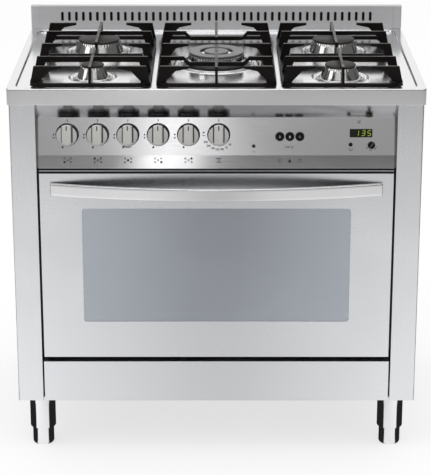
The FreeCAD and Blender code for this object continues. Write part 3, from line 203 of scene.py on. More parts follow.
def brushedMetal(name, color, roughness, stretch, tone=0.02, patches=0.04, bump=0.012, metallic=1.0):
    # Sheet metal with a grain, and soft patches that change its gloss.
    tree, shader = newMaterial(name, Metallic=metallic)
    grain = useGroup(tree, grainGroup, Stretch=stretch, Fine=finish["fineGrain"])
    cloud = useGroup(tree, cloudGroup, Size=finish["sheetPatch"])
    streaks = spread(tree, grain["Shade"], 0, 1, *finish["noiseMiddle"])
    rough = spread(tree, grain["Height"], roughness - tone, roughness + tone, *finish["noiseMiddle"])
    toned = mixColors(tree, streaks, shaded(color, 1 - tone), shaded(color, 1 + tone / 2))
    feed(tree, shader, Base_Color=toned, Roughness=calc(tree, "MULTIPLY_ADD", cloud["Mask"], patches, rough))
    if bump:
        addBump(tree, shader, grain["Height"], bump)


def grittyCoat(name, color, light, roughness, size, bump, metallic=0.0, specks=0.68, coat=0.0,
        specular=0.5):
    # Cast or enamelled surface: fine grit, a few lighter specks and soft patches.
    tree, shader = newMaterial(name, Metallic=metallic, Coat_Weight=coat,
        Coat_Roughness=finish["coatGloss"], Specular_IOR_Level=specular)
    grit = useGroup(tree, gritGroup, Size=size, Specks=specks)
    cloud = useGroup(tree, cloudGroup, Size=finish["coatPatch"])
    base = mixColors(tree, cloud["Mask"], color, tuple((a + b) / 2 for a, b in zip(color, light)))
    uneven = finish["coatUneven"]
    feed(tree, shader, Base_Color=mixColors(tree, grit["Mask"], base, light),
        Roughness=spread(tree, cloud["Mask"], roughness - uneven, roughness + uneven))
    addBump(tree, shader, grit["Height"], bump)


def wearAndTopHighlight(name, color, height, depth):
    # The top of a casting is lighter, rubbed bare by pans and also a painted highlight: a mask from the
    # height, broken up by the patches.
    tree = materials[name].node_tree
    shader = tree.nodes["Principled BSDF"]
    before = shader.inputs["Base Color"].links[0].from_socket
    rise = spread(tree, splitPlace(tree)[3], 0, 1, height - depth, height)
    cloud = useGroup(tree, cloudGroup, **finish["wearHighlightPatch"])
    mask = calc(tree, "MULTIPLY", rise, cloud["Mask"])
    feed(tree, shader, Base_Color=mixColors(tree, mask, before, color))


def glassCoat(name, color, metallic, roughness, alpha):
    tree, shader = newMaterial(name, Metallic=metallic, Alpha=alpha, Specular_IOR_Level=0.6)
    cloud = useGroup(tree, cloudGroup, Size=finish["glassPatch"])
    feed(tree, shader, Base_Color=mixColors(tree, cloud["Mask"], color, shaded(color, finish["glassTone"])),
        Roughness=spread(tree, cloud["Mask"], roughness, roughness + finish["plainUneven"]))


def plainCoat(name, color, roughness, size=900.0, bump=0.1, **sockets):
    # Plastic, rubber and glaze: an even colour with a fine skin.
    tree, shader = newMaterial(name, **sockets)
    grit = useGroup(tree, gritGroup, Size=size)
    tone, uneven = finish["plainTone"], finish["plainUneven"]
    toned = mixColors(tree, grit["Height"], shaded(color, 1 - tone), shaded(color, 1 + tone))
    rough = spread(tree, grit["Height"], roughness - uneven, roughness + uneven)
    feed(tree, shader, Base_Color=toned, Roughness=rough)
    addBump(tree, shader, grit["Height"], bump, finish["skinDepth"])


alongX, alongZ = (4, 900, 900), (900, 900, 4)
steelColor = (0.785, 0.795, 0.815)
brushedMetal("frontSteel", steelColor, 0.27, alongX)
brushedMetal("pillarSteel", steelColor, 0.27, alongZ)
brushedMetal("splashSteel", (0.60, 0.60, 0.61), 0.5, alongX, tone=0.05, metallic=0.45)
# A dark copy of the panel's steel: painted shade on the strip under the lip.
brushedMetal("stripShadeSteel", (0.36, 0.36, 0.37), 0.13, alongX)
brushedMetal("rimSteel", (0.82, 0.82, 0.83), 0.2, alongX)
brushedMetal("panelSteel", (0.70, 0.70, 0.71), 0.10, alongX, patches=0.02)
brushedMetal("handleSteel", (0.82, 0.82, 0.83), 0.22, alongX, tone=0.03)
# A dark copy of the handle's steel: painted shade on its ends and its back.
brushedMetal("handleShade", (0.12, 0.12, 0.12), 0.2, alongX)
brushedMetal("hobSteel", (0.83, 0.83, 0.84), 0.15, alongX, tone=0.01, bump=0.0)
brushedMetal("knobSteel", (0.70, 0.69, 0.67), 0.3, (900, 40, 40), tone=0.04, metallic=0.45)
# A dark copy of the steel: painted shade on the knobs' sides and on the panel's side flanges.
brushedMetal("knobShade", (0.24, 0.24, 0.25), 0.14, (60, 60, 60))
brushedMetal("footChrome", (0.80, 0.80, 0.82), 0.08, (900, 900, 60), tone=0.01, bump=0.01)
brushedMetal("rackChrome", (0.66, 0.66, 0.67), 0.18, (50, 50, 50), tone=0.04)
brushedMetal("crownMetal", (0.80, 0.79, 0.78), 0.12, (30, 30, 900), bump=0.0)
grittyCoat("wokMetal", (0.20, 0.20, 0.20), (0.27, 0.27, 0.27), 0.42, 900, 0.12, metallic=0.8)
# Painted shade on the wide burner's body under its ports.
grittyCoat("wokBodyShade", (0.012, 0.011, 0.011), (0.03, 0.028, 0.026), 0.3, 700, 0.1, specular=0.4)
grittyCoat("castMetal", (0.52, 0.52, 0.52), (0.62, 0.62, 0.62), 0.5, 500, 0.3, metallic=0.9)
grittyCoat("zincSheet", (0.54, 0.55, 0.56), (0.60, 0.61, 0.62), 0.42, 110, 0.04, metallic=0.9, specks=0.58)
grittyCoat("castIron", (0.006, 0.005, 0.0045), (0.014, 0.011, 0.01), 0.36, 420, 0.2, specular=0.14)
wearAndTopHighlight("castIron", (0.075, 0.07, 0.066), nodeBox("pan_support_left")[1][2] * mm, 0.0004)
grittyCoat("capEnamel", (0.028, 0.025, 0.024), (0.05, 0.045, 0.042), 0.5, 1100, 0.12, specular=0.24)
grittyCoat("ovenEnamel", (0.03, 0.032, 0.04), (0.2, 0.21, 0.24), 0.25, 700, 0.1, specks=0.72, coat=0.4)
grittyCoat("brassCast", (0.60, 0.43, 0.18), (0.72, 0.55, 0.26), 0.35, 500, 0.2, metallic=1.0)
glassCoat("windowGlass", (0.53, 0.565, 0.615), 1.0, 0.1, 0.72)
glassCoat("innerGlass", (0.36, 0.38, 0.41), 1.0, 0.12, 0.6)
glassCoat("lampGlass", (0.6, 0.6, 0.58), 0.0, 0.15, 0.5)
plainCoat("clockGlass", (0.010, 0.016, 0.006), 0.12, bump=0.0, Specular_IOR_Level=0.25)
plainCoat("lampLens", (0.035, 0.014, 0.008), 0.2, Coat_Weight=0.3)
plainCoat("buttonPlastic", (0.008, 0.008, 0.009), 0.22, bump=0.02, Specular_IOR_Level=0.15)
# Lighter than the knob's black: partly a painted highlight on the clock knob's grip.
plainCoat("thumbPlasticHighlight", (0.05, 0.05, 0.052), 0.25, bump=0.02)
plainCoat("boxPlastic", (0.02, 0.02, 0.02), 0.45, bump=0.2)
plainCoat("sealRubber", (0.03, 0.03, 0.03), 0.65, bump=0.25)
plainCoat("ceramicGlaze", (0.82, 0.81, 0.76), 0.2, bump=0.03)
# Painted shade inside the splashback's channel.
plainCoat("channelShade", (0.02, 0.02, 0.02), 0.7, size=300.0)
plainCoat("darkInk", (0.03, 0.03, 0.032), 0.5, bump=0.02)
plainCoat("paleInk", (0.55, 0.55, 0.54), 0.4, bump=0.02)
plainCoat("clockLight", (0.3, 0.4, 0.05), 0.4, bump=0.02, Emission_Strength=0.36,
    Emission_Color=(0.62, 0.78, 0.12, 1))
print("materials made:", len(materials))


# Mesh tools

def gridPart(points, wrapRows=False, capped=False):
    # A grid of points, rows by closed columns by three, as vertices and quads between neighbours;
    # wrapRows joins the last row to the first, capped closes the end rows.
    rows, columns = points.shape[:2]
    i, j = np.meshgrid(np.arange(rows if wrapRows else rows - 1), np.arange(columns), indexing="ij")
    up, side = (i + 1) % rows, (j + 1) % columns
    corners = [i * columns + j, i * columns + side, up * columns + side, up * columns + j]
    faces = np.stack(corners, -1).reshape(-1, 4).tolist()
    if capped:
        faces += [list(range(columns)), list(range((rows - 1) * columns, rows * columns))]
    return points.reshape(-1, 3), faces


def joinParts(*parts):
    # Parts as one: their vertices in a row, and their faces counted on.
    points, faces, start = [], [], 0
    for vertices, polygons in parts:
        points.append(vertices)
        faces.extend([[index + start for index in face] for face in polygons])
        start += len(vertices)
    return np.concatenate(points), faces


def moved(part, origin=(0, 0, 0), turn=None):
    # A part turned by a matrix, then carried to its place.
    vertices, faces = part
    if turn is not None:
        vertices = vertices @ np.array(turn).T
    return vertices + np.array(origin), faces


def turned(profile, count=96, swell=None, ring=False):
    # Profile points (radius, height) carried round the Z axis; swell(angle, radius, height) changes the
    # radius, and a ring's profile is closed on itself.
    profile = np.array(profile, float)
    angle = np.arange(count) * tau / count
    radius = np.repeat(profile[:, :1], count, 1)
    height = np.repeat(profile[:, 1:], count, 1)
    if swell is not None:
        radius = swell(angle[None, :], radius, height)
    return gridPart(np.stack([radius * np.cos(angle), radius * np.sin(angle), height], -1), ring)


def platePart(outline, low, high):
    # A flat plate: an outline carried from one height to another.
    rows = [np.column_stack([outline, np.full(len(outline), z)]) for z in (low, high)]
    return gridPart(np.array(rows, float), capped=True)


def barPart(x0, x1, y0, y1, z0, z1):
    # A block between two corners.
    return platePart([(x0, y0), (x1, y0), (x1, y1), (x0, y1)], z0, z1)


def arcPoints(centre, radius, start, end, count):
    # Points on a circle's arc, from start to end in degrees.
    angle = np.radians(np.linspace(start, end, count))
    return np.stack([centre[0] + radius * np.cos(angle), centre[1] + radius * np.sin(angle)], -1).tolist()


def shifted(points, across, rise=0.0):
    # Outline points counted from a radius and a height.
    return [(across + x, rise + z) for x, z in points]


def roundedLoop(halfX, halfY, corner, sidePoints=24, cornerPoints=12):
    # A rectangle with round corners, with the same number of points whatever its size.
    shares = np.linspace(0, 1, sidePoints, endpoint=False)[1:]
    loops = []
    for turn in range(4):
        angle = math.radians(turn * 90)
        across, along = (halfX, halfY) if turn % 2 == 0 else (halfY, halfX)
        straight = np.stack([np.full(len(shares), across), (2 * shares - 1) * (along - corner)], -1)
        bend = arcPoints((across - corner, along - corner), corner, 0, 90, cornerPoints)
        cos, sin = math.cos(angle), math.sin(angle)
        loops.append(np.concatenate([straight, bend]) @ np.array([[cos, sin], [-sin, cos]]))
    return np.concatenate(loops)


def tidyMesh(mesh):
    # Doubles merged and faces turned outwards.
    work = bmesh.new()
    work.from_mesh(mesh)
    bmesh.ops.remove_doubles(work, verts=work.verts, dist=0.00001)
    bmesh.ops.dissolve_degenerate(work, edges=work.edges, dist=0.000001)
    bmesh.ops.recalc_face_normals(work, faces=work.faces)
    work.to_mesh(mesh)
    work.free()
    return mesh


def makeMesh(name, part):
    # Vertices in millimetres become a mesh in metres.
    vertices, faces = part
    mesh = bpy.data.meshes.new(name)
    mesh.from_pydata((vertices * mm).tolist(), [], faces)
    return tidyMesh(mesh)


def addPiece(name, mesh, material, body, replaced=(), smooth=35):
    # A finished piece: its object stays at the origin and rides on a body.
    piece = bpy.data.objects.new(name, mesh)
    bpy.context.scene.collection.objects.link(piece)
    mesh.materials.clear()
    mesh.materials.append(materials[material])
    for polygon in mesh.polygons:
        polygon.use_smooth = True
    mesh.set_sharp_from_angle(angle=math.radians(smooth))
    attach(piece, body)
    if replaced:
        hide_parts(*replaced)
    return piece


def makePiece(name, part, material, body, replaced=(), smooth=35):
    return addPiece(name, makeMesh(name, part), material, body, replaced, smooth)


def secondMaterial(mesh, material, chosen):
    # The faces for which chosen(face) is true get another material.
    mesh.materials.append(materials[material])
    mesh.polygons.foreach_set("material_index", [int(chosen(face)) for face in mesh.polygons])


def bevelledCopy(node, name, material, body, width, segments=2, angle=40, fold=50, keptEdge=None):
    # A CAD node's own shape with its edges broken: doubles merged, flat faces joined, edges bevelled.
    # A bend above fold, in degrees, stays crisp; keptEdge says of an edge's middle if it stays sharp.
    mesh = frame["nodes"][node].data.copy()
    work = bmesh.new()
    work.from_mesh(mesh)
    bmesh.ops.remove_doubles(work, verts=work.verts, dist=0.00002)
    bmesh.ops.dissolve_limit(work, angle_limit=math.radians(1), verts=work.verts, edges=work.edges)
    bmesh.ops.recalc_face_normals(work, faces=work.faces)
    if keptEdge:
        weights = work.edges.layers.float.new("bevel_weight_edge")
        for edge in work.edges:
            middle = (edge.verts[0].co + edge.verts[1].co) / 2
            bent = len(edge.link_faces) == 2 and edge.calc_face_angle() > math.radians(angle)
            edge[weights] = 1.0 if bent and not keptEdge(middle) else 0.0
    work.to_mesh(mesh)
    work.free()
    piece = addPiece(name, mesh, material, body, (node,), smooth=fold)
    bevel = piece.modifiers.new("edges", "BEVEL")
    bevel.width = width * mm
    bevel.segments = segments
    bevel.limit_method = "WEIGHT" if keptEdge else "ANGLE"
    bevel.angle_limit = math.radians(angle)
    bevel.use_clamp_overlap = True
    normals = piece.modifiers.new("flatNormals", "WEIGHTED_NORMAL")
    normals.weight = 100
    normals.keep_sharp = fold < angle
    return piece


# Worktop: one pressed sheet, from the lip's lower edge over the rim and down into the hob

worktop = {"edgeRound": 3.0, "lipCorner": 8.0, "lipHem": 0.8, "leastCorner": 1.5, "hobCorner": 22.0,
    "hobSide": 18.0, "hobFront": 14.0, "hobRear": 34.0, "hobDepth": 6.0, "pressRound": 2.6,
    "besideBend": 1.5, "sheet": 1.5, "flatStrip": 4.0, "beadHeight": 1.6, "beadWidth": 5.0,
    "beadReach": 9.0, "moat": 12.0, "holeEdge": ((1.5, 0), (-2, -0.2), (-4, -0.8), (-5, -2.0), (-5, -2.6)),
    "around": 72, "steepest": 0.3, "near": 0.1}
burnerSizes = {}
for burnerName in burnerNames:
    crownLow, crownHigh = nodeBox("burner_crown_" + burnerName)
    capLow, capHigh = nodeBox("burner_cap_" + burnerName)
    middle = ((crownLow[0] + crownHigh[0]) / 2, (crownLow[1] + crownHigh[1]) / 2)
    burnerSizes[burnerName] = {"centre": middle, "ring": (crownHigh[0] - crownLow[0]) / 2,
        "cap": (capHigh[0] - capLow[0]) / 2, "crownTop": crownHigh[2], "capTop": capHigh[2]}
worktopLow, worktopHigh = nodeBox("worktop")
hobLevel = worktopHigh[2] - worktop["hobDepth"]


def loopRows(stations, half, corner, middle):
    # Loops of a rectangle with round corners, one for each station of inset and height.
    rows = []
    for inset, z in stations:
        loop = roundedLoop(half[0] - inset, half[1] - inset, max(corner - inset, worktop["leastCorner"]))
        rows.append(np.column_stack([loop + middle, np.full(len(loop), z)]))
    return rows


def makeWorktop():
    # Rounded rectangles from the lip to the hob, then a flat floor between that outline and the burners'.
    w, low, high = worktop, worktopLow, worktopHigh[2]
    half = (worktopHigh - low)[:2] / 2
    edge, press, flat = w["edgeRound"], w["pressRound"], w["besideBend"]
    lip = [(0, low[2]), (0, low[2] + w["lipHem"]), (0, high - edge - 1)]
    lip += arcPoints((edge, high - edge), edge, 180, 90, 7) + [(edge + flat, high)]
    rows = loopRows(lip, half, w["lipCorner"], ((low + worktopHigh) / 2)[:2])
    hobFront, hobRear = low[1] + w["hobFront"], worktopHigh[1] - w["hobRear"]
    well = [(-press - flat, high)] + arcPoints((-press, high - press), press, 90, 20, 6)
    well += arcPoints((press, hobLevel + press), press, 200, 270, 6)
    well += [(press + flat, hobLevel), (press + w["flatStrip"], hobLevel)]
    rows += loopRows(well, (half[0] - w["hobSide"], (hobRear - hobFront) / 2), w["hobCorner"],
        np.array([(low[0] + worktopHigh[0]) / 2, (hobFront + hobRear) / 2]))
    parts, outlines = [gridPart(np.array(rows))], [rows[-1][:, :2]]
    angle = np.arange(w["around"]) * tau / w["around"]
    for size in burnerSizes.values():
        # A low bead pressed round each burner, a sine squared high, then the sheet turns down at the hole.
        ring = size["ring"]
        bead = [(ring + w["moat"], 0), (ring + w["beadReach"], 0)]
        bead += [(ring + w["beadReach"] - w["beadWidth"] * share,
            w["beadHeight"] * math.sin(math.pi * share) ** 2) for share in np.linspace(0, 1, 9)[1:]]
        bead += shifted(w["holeEdge"], ring)
        parts.append(moved(turned(shifted(bead, 0, hobLevel), w["around"]), (*size["centre"], 0)))
        circle = np.stack([np.cos(angle), np.sin(angle)], -1)
        outlines.append(circle * (ring + w["moat"]) + np.array(size["centre"]))
    points, edges, start = [], [], 0
    for outline in outlines:
        points.extend(Vector(point) for point in outline.tolist())
        count = len(outline)
        edges.extend((start + i, start + (i + 1) % count) for i in range(count))
        start += count
    placed, _, faces, _, _, _ = delaunay_2d_cdt(points, edges, [], 1, 0.001)
    floor = np.array([(point[0], point[1], hobLevel) for point in placed])

    def inHole(face):
        # A triangle whose corners all lie on one burner's outline is in the hole.
        corners = floor[list(face)][:, :2]
        return any((np.hypot(*(corners - size["centre"]).T) < size["ring"] + w["moat"] + w["near"]).all()
            for size in burnerSizes.values())

    parts.append((floor, [list(face) for face in faces if not inHole(face)]))
    mesh = makeMesh("worktop_sheet", joinParts(*parts))
    if max(mesh.polygons, key=lambda polygon: polygon.area).normal.z < 0:
        mesh.flip_normals()
    piece = addPiece("worktop_sheet", mesh, "rimSteel", "root", ("worktop",), smooth=40)
    lowest, highest = (hobLevel - w["flatStrip"]) * mm, (high - w["lipHem"]) * mm
    secondMaterial(mesh, "hobSteel", lambda face: lowest < face.center.z < highest
        and abs(face.normal.z) > w["steepest"])
    wall = piece.modifiers.new("sheet", "SOLIDIFY")
    wall.thickness = w["sheet"] * mm
    wall.offset = -1


makeWorktop()
print("worktop made")


# Burners: a crown with scalloped ports and a rolled rim, under a cap

# Outlines are counted from the ring's or the cap's radius, and from the hob or the top.
crown = {"coneFoot": 9.5, "rimGap": 10.0, "collar": ((-6, -4), (-5.4, 0), (-1.2, 0.1)), "rollRound": 1.9,
    "rollAt": (2.4, 2.0), "neck": ((-4.6, 3.6), (-7.4, 2.6)),
    "body": ((2.2, 1.0), (1.0, 0.6), (0.3, 1.6), (0, 3.4)), "wokBody": 74.0,
    "wokSide": ((0, 6.5), (-2, 9.5)), "wokShoulder": ((3, 13.0), (2, 13.6)), "wallTop": 0.8,
    "wallReach": 0.6, "wokReach": 0.5, "brim": ((-0.4, -0.4), (-1.5, 0)), "portDepth": 0.7,
    "portPitch": 6.5, "portBand": 6.0, "bandRise": 1.5, "bandFall": 0.4, "bandEnd": 0.2, "shadeFrom": 0.7,
    "shadeTo": 13.2, "shadeReach": 1.5}
cap = {"bend": 1.4, "step": 0.2, "foot": ((-1.0, 0), (0, 0.7)), "holeTop": ((1.6, 0), (0.4, -0.5), (0, -1.4)),
    "holeFoot": ((0, 0.5), (0.6, 0)), "ringHole": 37.0, "middleRadius": 27.0, "around": 120}


def makeCrown(name, size):
    # A profile carried round: collar, rolled rim, neck and body, then the wall with its ports.
    c, radius, ring = crown, size["cap"], size["ring"]
    top = size["crownTop"] - hobLevel
    wok = name == "centre"
    foot = c["wokBody"] if wok else min(radius + c["coneFoot"], ring - c["rimGap"])
    ports = int(tau * radius / c["portPitch"])
    profile = [(0, c["collar"][0][1])] + shifted(c["collar"], ring)
    profile += arcPoints((ring - c["rollAt"][0], c["rollAt"][1]), c["rollRound"], -40, 110, 8)
    profile += shifted(c["neck"], ring) + shifted(c["body"], foot)
    if wok:
        # The wide burner has a body below, dark with painted shade, and a bright row of ports above it.
        profile += shifted(c["wokSide"], foot) + shifted(c["wokShoulder"], radius)
    wallFoot, wallLow = profile[-1]
    wallReach, wallHigh = radius + c["wokReach" if wok else "wallReach"], top - c["wallTop"]
    profile += [(wallFoot + (wallReach - wallFoot) * share, wallLow + (wallHigh - wallLow) * share)
        for share in np.linspace(0, 1, 12)[1:]]
    profile += shifted(c["brim"], radius, top) + [(0, top)]

    def scallop(angle, radii, height):
        # Ports: the wall dips between ribs by a cosine squared, only in the band just under the cap.
        inBand = np.clip((height - (top - c["portBand"])) / c["bandRise"], 0, 1)
        inBand = inBand * np.clip((top - c["bandEnd"] - height) / c["bandFall"], 0, 1)
        return radii - c["portDepth"] * inBand * (0.5 + 0.5 * np.cos(ports * angle)) ** 2

    return moved(turned(profile, ports * 8, scallop), (*size["centre"], hobLevel))


def capProfile(radius, base, top, hole=0.0):
    # Flat cap with a broken upper edge; with a hole it is a ring.
    bend = min(cap["bend"], (top - base) / 3)
    edge = shifted(cap["foot"], radius, base) + [(radius, top - bend - cap["step"])]
    edge += arcPoints((radius - bend, top - bend), bend, 0, 90, 6)
    if hole:
        return edge + shifted(cap["holeTop"], hole, top) + shifted(cap["holeFoot"], hole, base)
    return [(0, base)] + edge + [(radius * 0.5, top), (0, top)]


def onWokBody(face):
    # Faces of the wide burner's body, between the collar and the ports, get painted shade.
    c, size = crown, burnerSizes["centre"]
    out = math.dist(face.center[:2], np.array(size["centre"]) * mm) / mm
    rise = face.center.z / mm - hobLevel
    return (c["wokBody"] + c["shadeReach"] > out > size["cap"] + c["wokReach"]
        and c["shadeFrom"] < rise < c["shadeTo"])


for burnerName, size in burnerSizes.items():
    wok = burnerName == "centre"
    piece = makePiece("crown_" + burnerName, makeCrown(burnerName, size), "crownMetal", "root",
        ("burner_crown_" + burnerName,), smooth=30)
    heights = (size["crownTop"], size["capTop"])
    if wok:
        secondMaterial(piece.data, "wokBodyShade", onWokBody)
        outer = turned(capProfile(size["cap"], *heights, cap["ringHole"]), cap["around"], ring=True)
        capPart = joinParts(outer, turned(capProfile(cap["middleRadius"], *heights)))
    else:
        capPart = turned(capProfile(size["cap"], *heights), cap["around"])
    makePiece("cap_" + burnerName, moved(capPart, (*size["centre"], 0)), "wokMetal" if wok else "capEnamel",
        "root", ("burner_cap_" + burnerName,))
print("burners made")

for supportName in ("pan_support_left", "pan_support_centre", "pan_support_right"):
    bevelledCopy(supportName, supportName + "_casting", "castIron", supportName, 1.9, 3, 30)
print("pan supports made")


# Control panel, side panels, door, drawer and splashback

# By node: body, material, the bevel's width, and the bend in degrees above which an edge stays crisp.
sheets = {
    "control_panel": ("root", "panelSteel", 0.5, 6),
    "side_panel_left": ("root", "pillarSteel", 0.5, 50),
    "side_panel_right": ("root", "pillarSteel", 0.5, 50),
    "door_panel": ("door", "frontSteel", 0.6, 50),
    "drawer_front": ("drawer", "frontSteel", 0.6, 50),
    "splashback_end_caps": ("root", "splashSteel", 0.8, 50),
}
# Faces of the control panel that are above this height, in metres, and look down are its strip.
stripLevel, stripFacing = 0.77, -0.3
doorReturn = nodeBox("door_panel")[0] * mm + (0, 0.0006, 0.004)  # behind and over the lower front edge


def inDoorReturn(middle):
    # The notches for the hinge arms come close to the door's front, so the lower return keeps its edges.
    return middle.y > doorReturn[1] and middle.z < doorReturn[2]


for sheetName, (body, material, width, fold) in sheets.items():
    sheet = bevelledCopy(sheetName, sheetName + "_sheet", material, body, width, 2, 30,
        fold, inDoorReturn if sheetName == "door_panel" else None)
    if sheetName == "control_panel":
        # The strip under the worktop's lip looks down, and gets a dark copy of the steel: painted shade for
        # the darker floor that it mirrors close by.
        secondMaterial(sheet.data, "stripShadeSteel", lambda face: face.normal.z < stripFacing
            and face.center.z > stripLevel)

splashback = {"near": 0.0001, "frontWall": 0.0018, "footFold": 0.012, "facing": 0.9}  # in metres


def makeSplashback():
    # The channel as it is, but with painted shade inside, where little light gets in: faces that lie in no
    # outer plane are inside.
    s = splashback
    low, high = np.array(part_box("splashback_panel"))
    mesh = tidyMesh(frame["nodes"]["splashback_panel"].data.copy())
    piece = addPiece("splashback_channel", mesh, "splashSteel", "root",
        ("splashback_panel",), smooth=30)

    def inside(face):
        place, ahead = face.center, face.normal.y
        return not ((ahead < -s["facing"] and place.y < low[1] + s["frontWall"])
            or place.z > high[2] - s["near"] or (ahead > s["facing"] and place.y > high[1] - s["near"])
            or place.z < low[2] + s["footFold"])

    secondMaterial(mesh, "channelShade", inside)
    piece.modifiers.new("flatNormals", "WEIGHTED_NORMAL").keep_sharp = True


makeSplashback()
print("sheets made")


# Door handle: a flat bar with round edges, bowed outwards, on two short posts

handle = {"thickness": 9.0, "edgeRound": 2.6, "endRound": 1.2, "endStep": 0.3, "endInset": (1.0, 0.4, 0),
    "stations": 91, "postX": 335.0, "postRadius": 8.0, "postFlare": (1.2, 0.4), "postSunk": 2.0,
    "backFacing": 0.3}


def makeHandle():
    h = handle
    low, high = nodeBox("door_handle")
    half, height, middleZ = (high[0] - low[0]) / 2, high[2] - low[2], (low[2] + high[2]) / 2
    doorFace = nodeBox("door_panel")[0][1]
    sagitta = doorFace - h["thickness"] - low[1]
    bowRadius = (half ** 2 + sagitta ** 2) / (2 * sagitta)
    section = roundedLoop(h["thickness"] / 2, height / 2, h["edgeRound"], 6, 6)
    ends = np.array([0, h["endStep"], h["endRound"]])
    lengths = np.concatenate([ends - half, np.linspace(-half, half, h["stations"])[1:-1],
        half - ends[::-1]])
    inset = np.concatenate([h["endInset"], np.zeros(h["stations"] - 2), h["endInset"][::-1]])[:, None]
    # The bar's middle line is a circle's arc; each section stands square to it, and is smaller at the ends.
    angle = np.arcsin(lengths / bowRadius)[:, None]
    middleY = low[1] + h["thickness"] / 2 + bowRadius * (1 - np.cos(angle))
    depth = section[:, 0] * (1 - 2 * inset / h["thickness"])
    rise = section[:, 1] * (1 - 2 * inset / height)
    points = [lengths[:, None] - depth * np.sin(angle), middleY + depth * np.cos(angle), middleZ + rise]
    parts = [gridPart(np.stack(points, -1), capped=True)]
    for x in (-h["postX"], h["postX"]):
        back = low[1] + bowRadius - math.sqrt(bowRadius ** 2 - x ** 2) + h["thickness"]
        radius, length = h["postRadius"], doorFace - back
        profile = [(0, -h["postSunk"]), (radius, -h["postSunk"]), (radius, length - h["postFlare"][1]),
            (radius + h["postFlare"][0], length), (0, length)]
        parts.append(moved(turned(profile, 40), (x, back, middleZ), [(1, 0, 0), (0, 0, 1), (0, -1, 0)]))
    piece = makePiece("door_handle_bar", joinParts(*parts), "handleSteel", "door",
        ("door_handle",), smooth=50)
    # The ends and the side towards the door get painted shade, a dark copy of the steel, and the door mirrors
    # that side above the bar.
    secondMaterial(piece.data, "handleShade", lambda face: face.normal.y > h["backFacing"]
        or abs(face.center.x) > (half - h["endRound"]) * mm)


makeHandle()


# Feet: a plain sleeve and a narrower leg with a round foot

foot = {"radius": 29.0, "sleeveRound": 1.2, "sleeveEdge": ((0, -1), (-0.8, 0)),
    "gap": ((0.6, 12), (0.6, 0.8), (1.4, 0)), "legRound": 6.0, "overlap": 10.0}


def makeFeet():
    # The boxes of the sleeves give the outer places, and the pattern is square to the body.
    f = foot
    (sleeveLow, sleeveHigh), (legLow, legHigh) = nodeBox("foot_sleeves"), nodeBox("foot_legs")
    xs, ys = [(sleeveLow[axis] + f["radius"], sleeveHigh[axis] - f["radius"]) for axis in (0, 1)]
    leg = legHigh[0] - xs[1]
    rounding, base, top = f["sleeveRound"], sleeveLow[2], sleeveHigh[2]
    sleeve = shifted(f["gap"], leg, base)
    sleeve += arcPoints((f["radius"] - rounding, base + rounding), rounding, -90, 0, 5)
    sleeve += shifted(f["sleeveEdge"], f["radius"], top) + [(0, top), (0, base + f["gap"][0][1])]
    rounding = f["legRound"]
    shank = [(0, legLow[2])] + arcPoints((leg - rounding, legLow[2] + rounding), rounding, -90, 0, 9)
    shank += [(leg, base + f["overlap"]), (0, base + f["overlap"])]
    for name, profile, slot in (("foot_sleeve", sleeve, "brushed_steel"), ("foot_leg", shank, "chrome")):
        parts = [moved(turned(profile), (x, y, 0)) for x in xs for y in ys]
        makePiece(name + "_set", joinParts(*parts), "footChrome", "root", (name + "s",))


makeFeet()
print("handle and feet made")


# Knobs, buttons and the clock, on the leaning face of the control panel

outward = np.array(joints["knob_centre_turn"]["axis"])
upward = np.array([0, outward[2], -outward[1]])
faceTurn = np.stack([(1, 0, 0), upward, outward], -1)
knobGap = 0.4
faceOrigin = jointPlace("knob_centre") * (0, 1, 1) - outward * knobGap


def onFace(x, up, out=0.0):
    # A point of the panel's face: x to the right, up along the face from the knobs' line, out of it.
    return np.array([x, 0, 0]) + faceOrigin + upward * up + outward * out


def faceCentre(node):
    low, high = nodeBox(node)
    centre = (low + high) / 2 - faceOrigin
    return centre[0], float(centre @ upward)


def facePiece(name, part, place, material, body, replaced=(), smooth=35):
    # A piece that is drawn flat and stands on the panel's leaning face.
    return makePiece(name, moved(part, place, faceTurn), material, body, replaced, smooth)


knob = {"base": 25.0, "baseHeight": 5.0, "baseFoot": 1.0, "baseRound": 1.6, "waist": 24.7, "waistStep": 0.4,
    "shoulder": 11.0, "face": 21.8, "faceHeight": 16.0, "faceEdge": ((0.3, -0.5), (0, -0.1), (-0.6, 0)),
    "offset": (-0.6, -2.2), "length": 30.0, "grip": 10.0, "gripEnd": 21.5, "edge": 1.5, "gripShade": 2.6,
    "gripShadeRise": (-0.3, 0.08), "line": 1.2, "lineLow": 9.0, "lineHigh": 19.0, "lineRise": (-0.1, 0.06),
    "flatFacing": 0.97, "gripShadeEnd": 0.6, "gripSunk": 1.0}


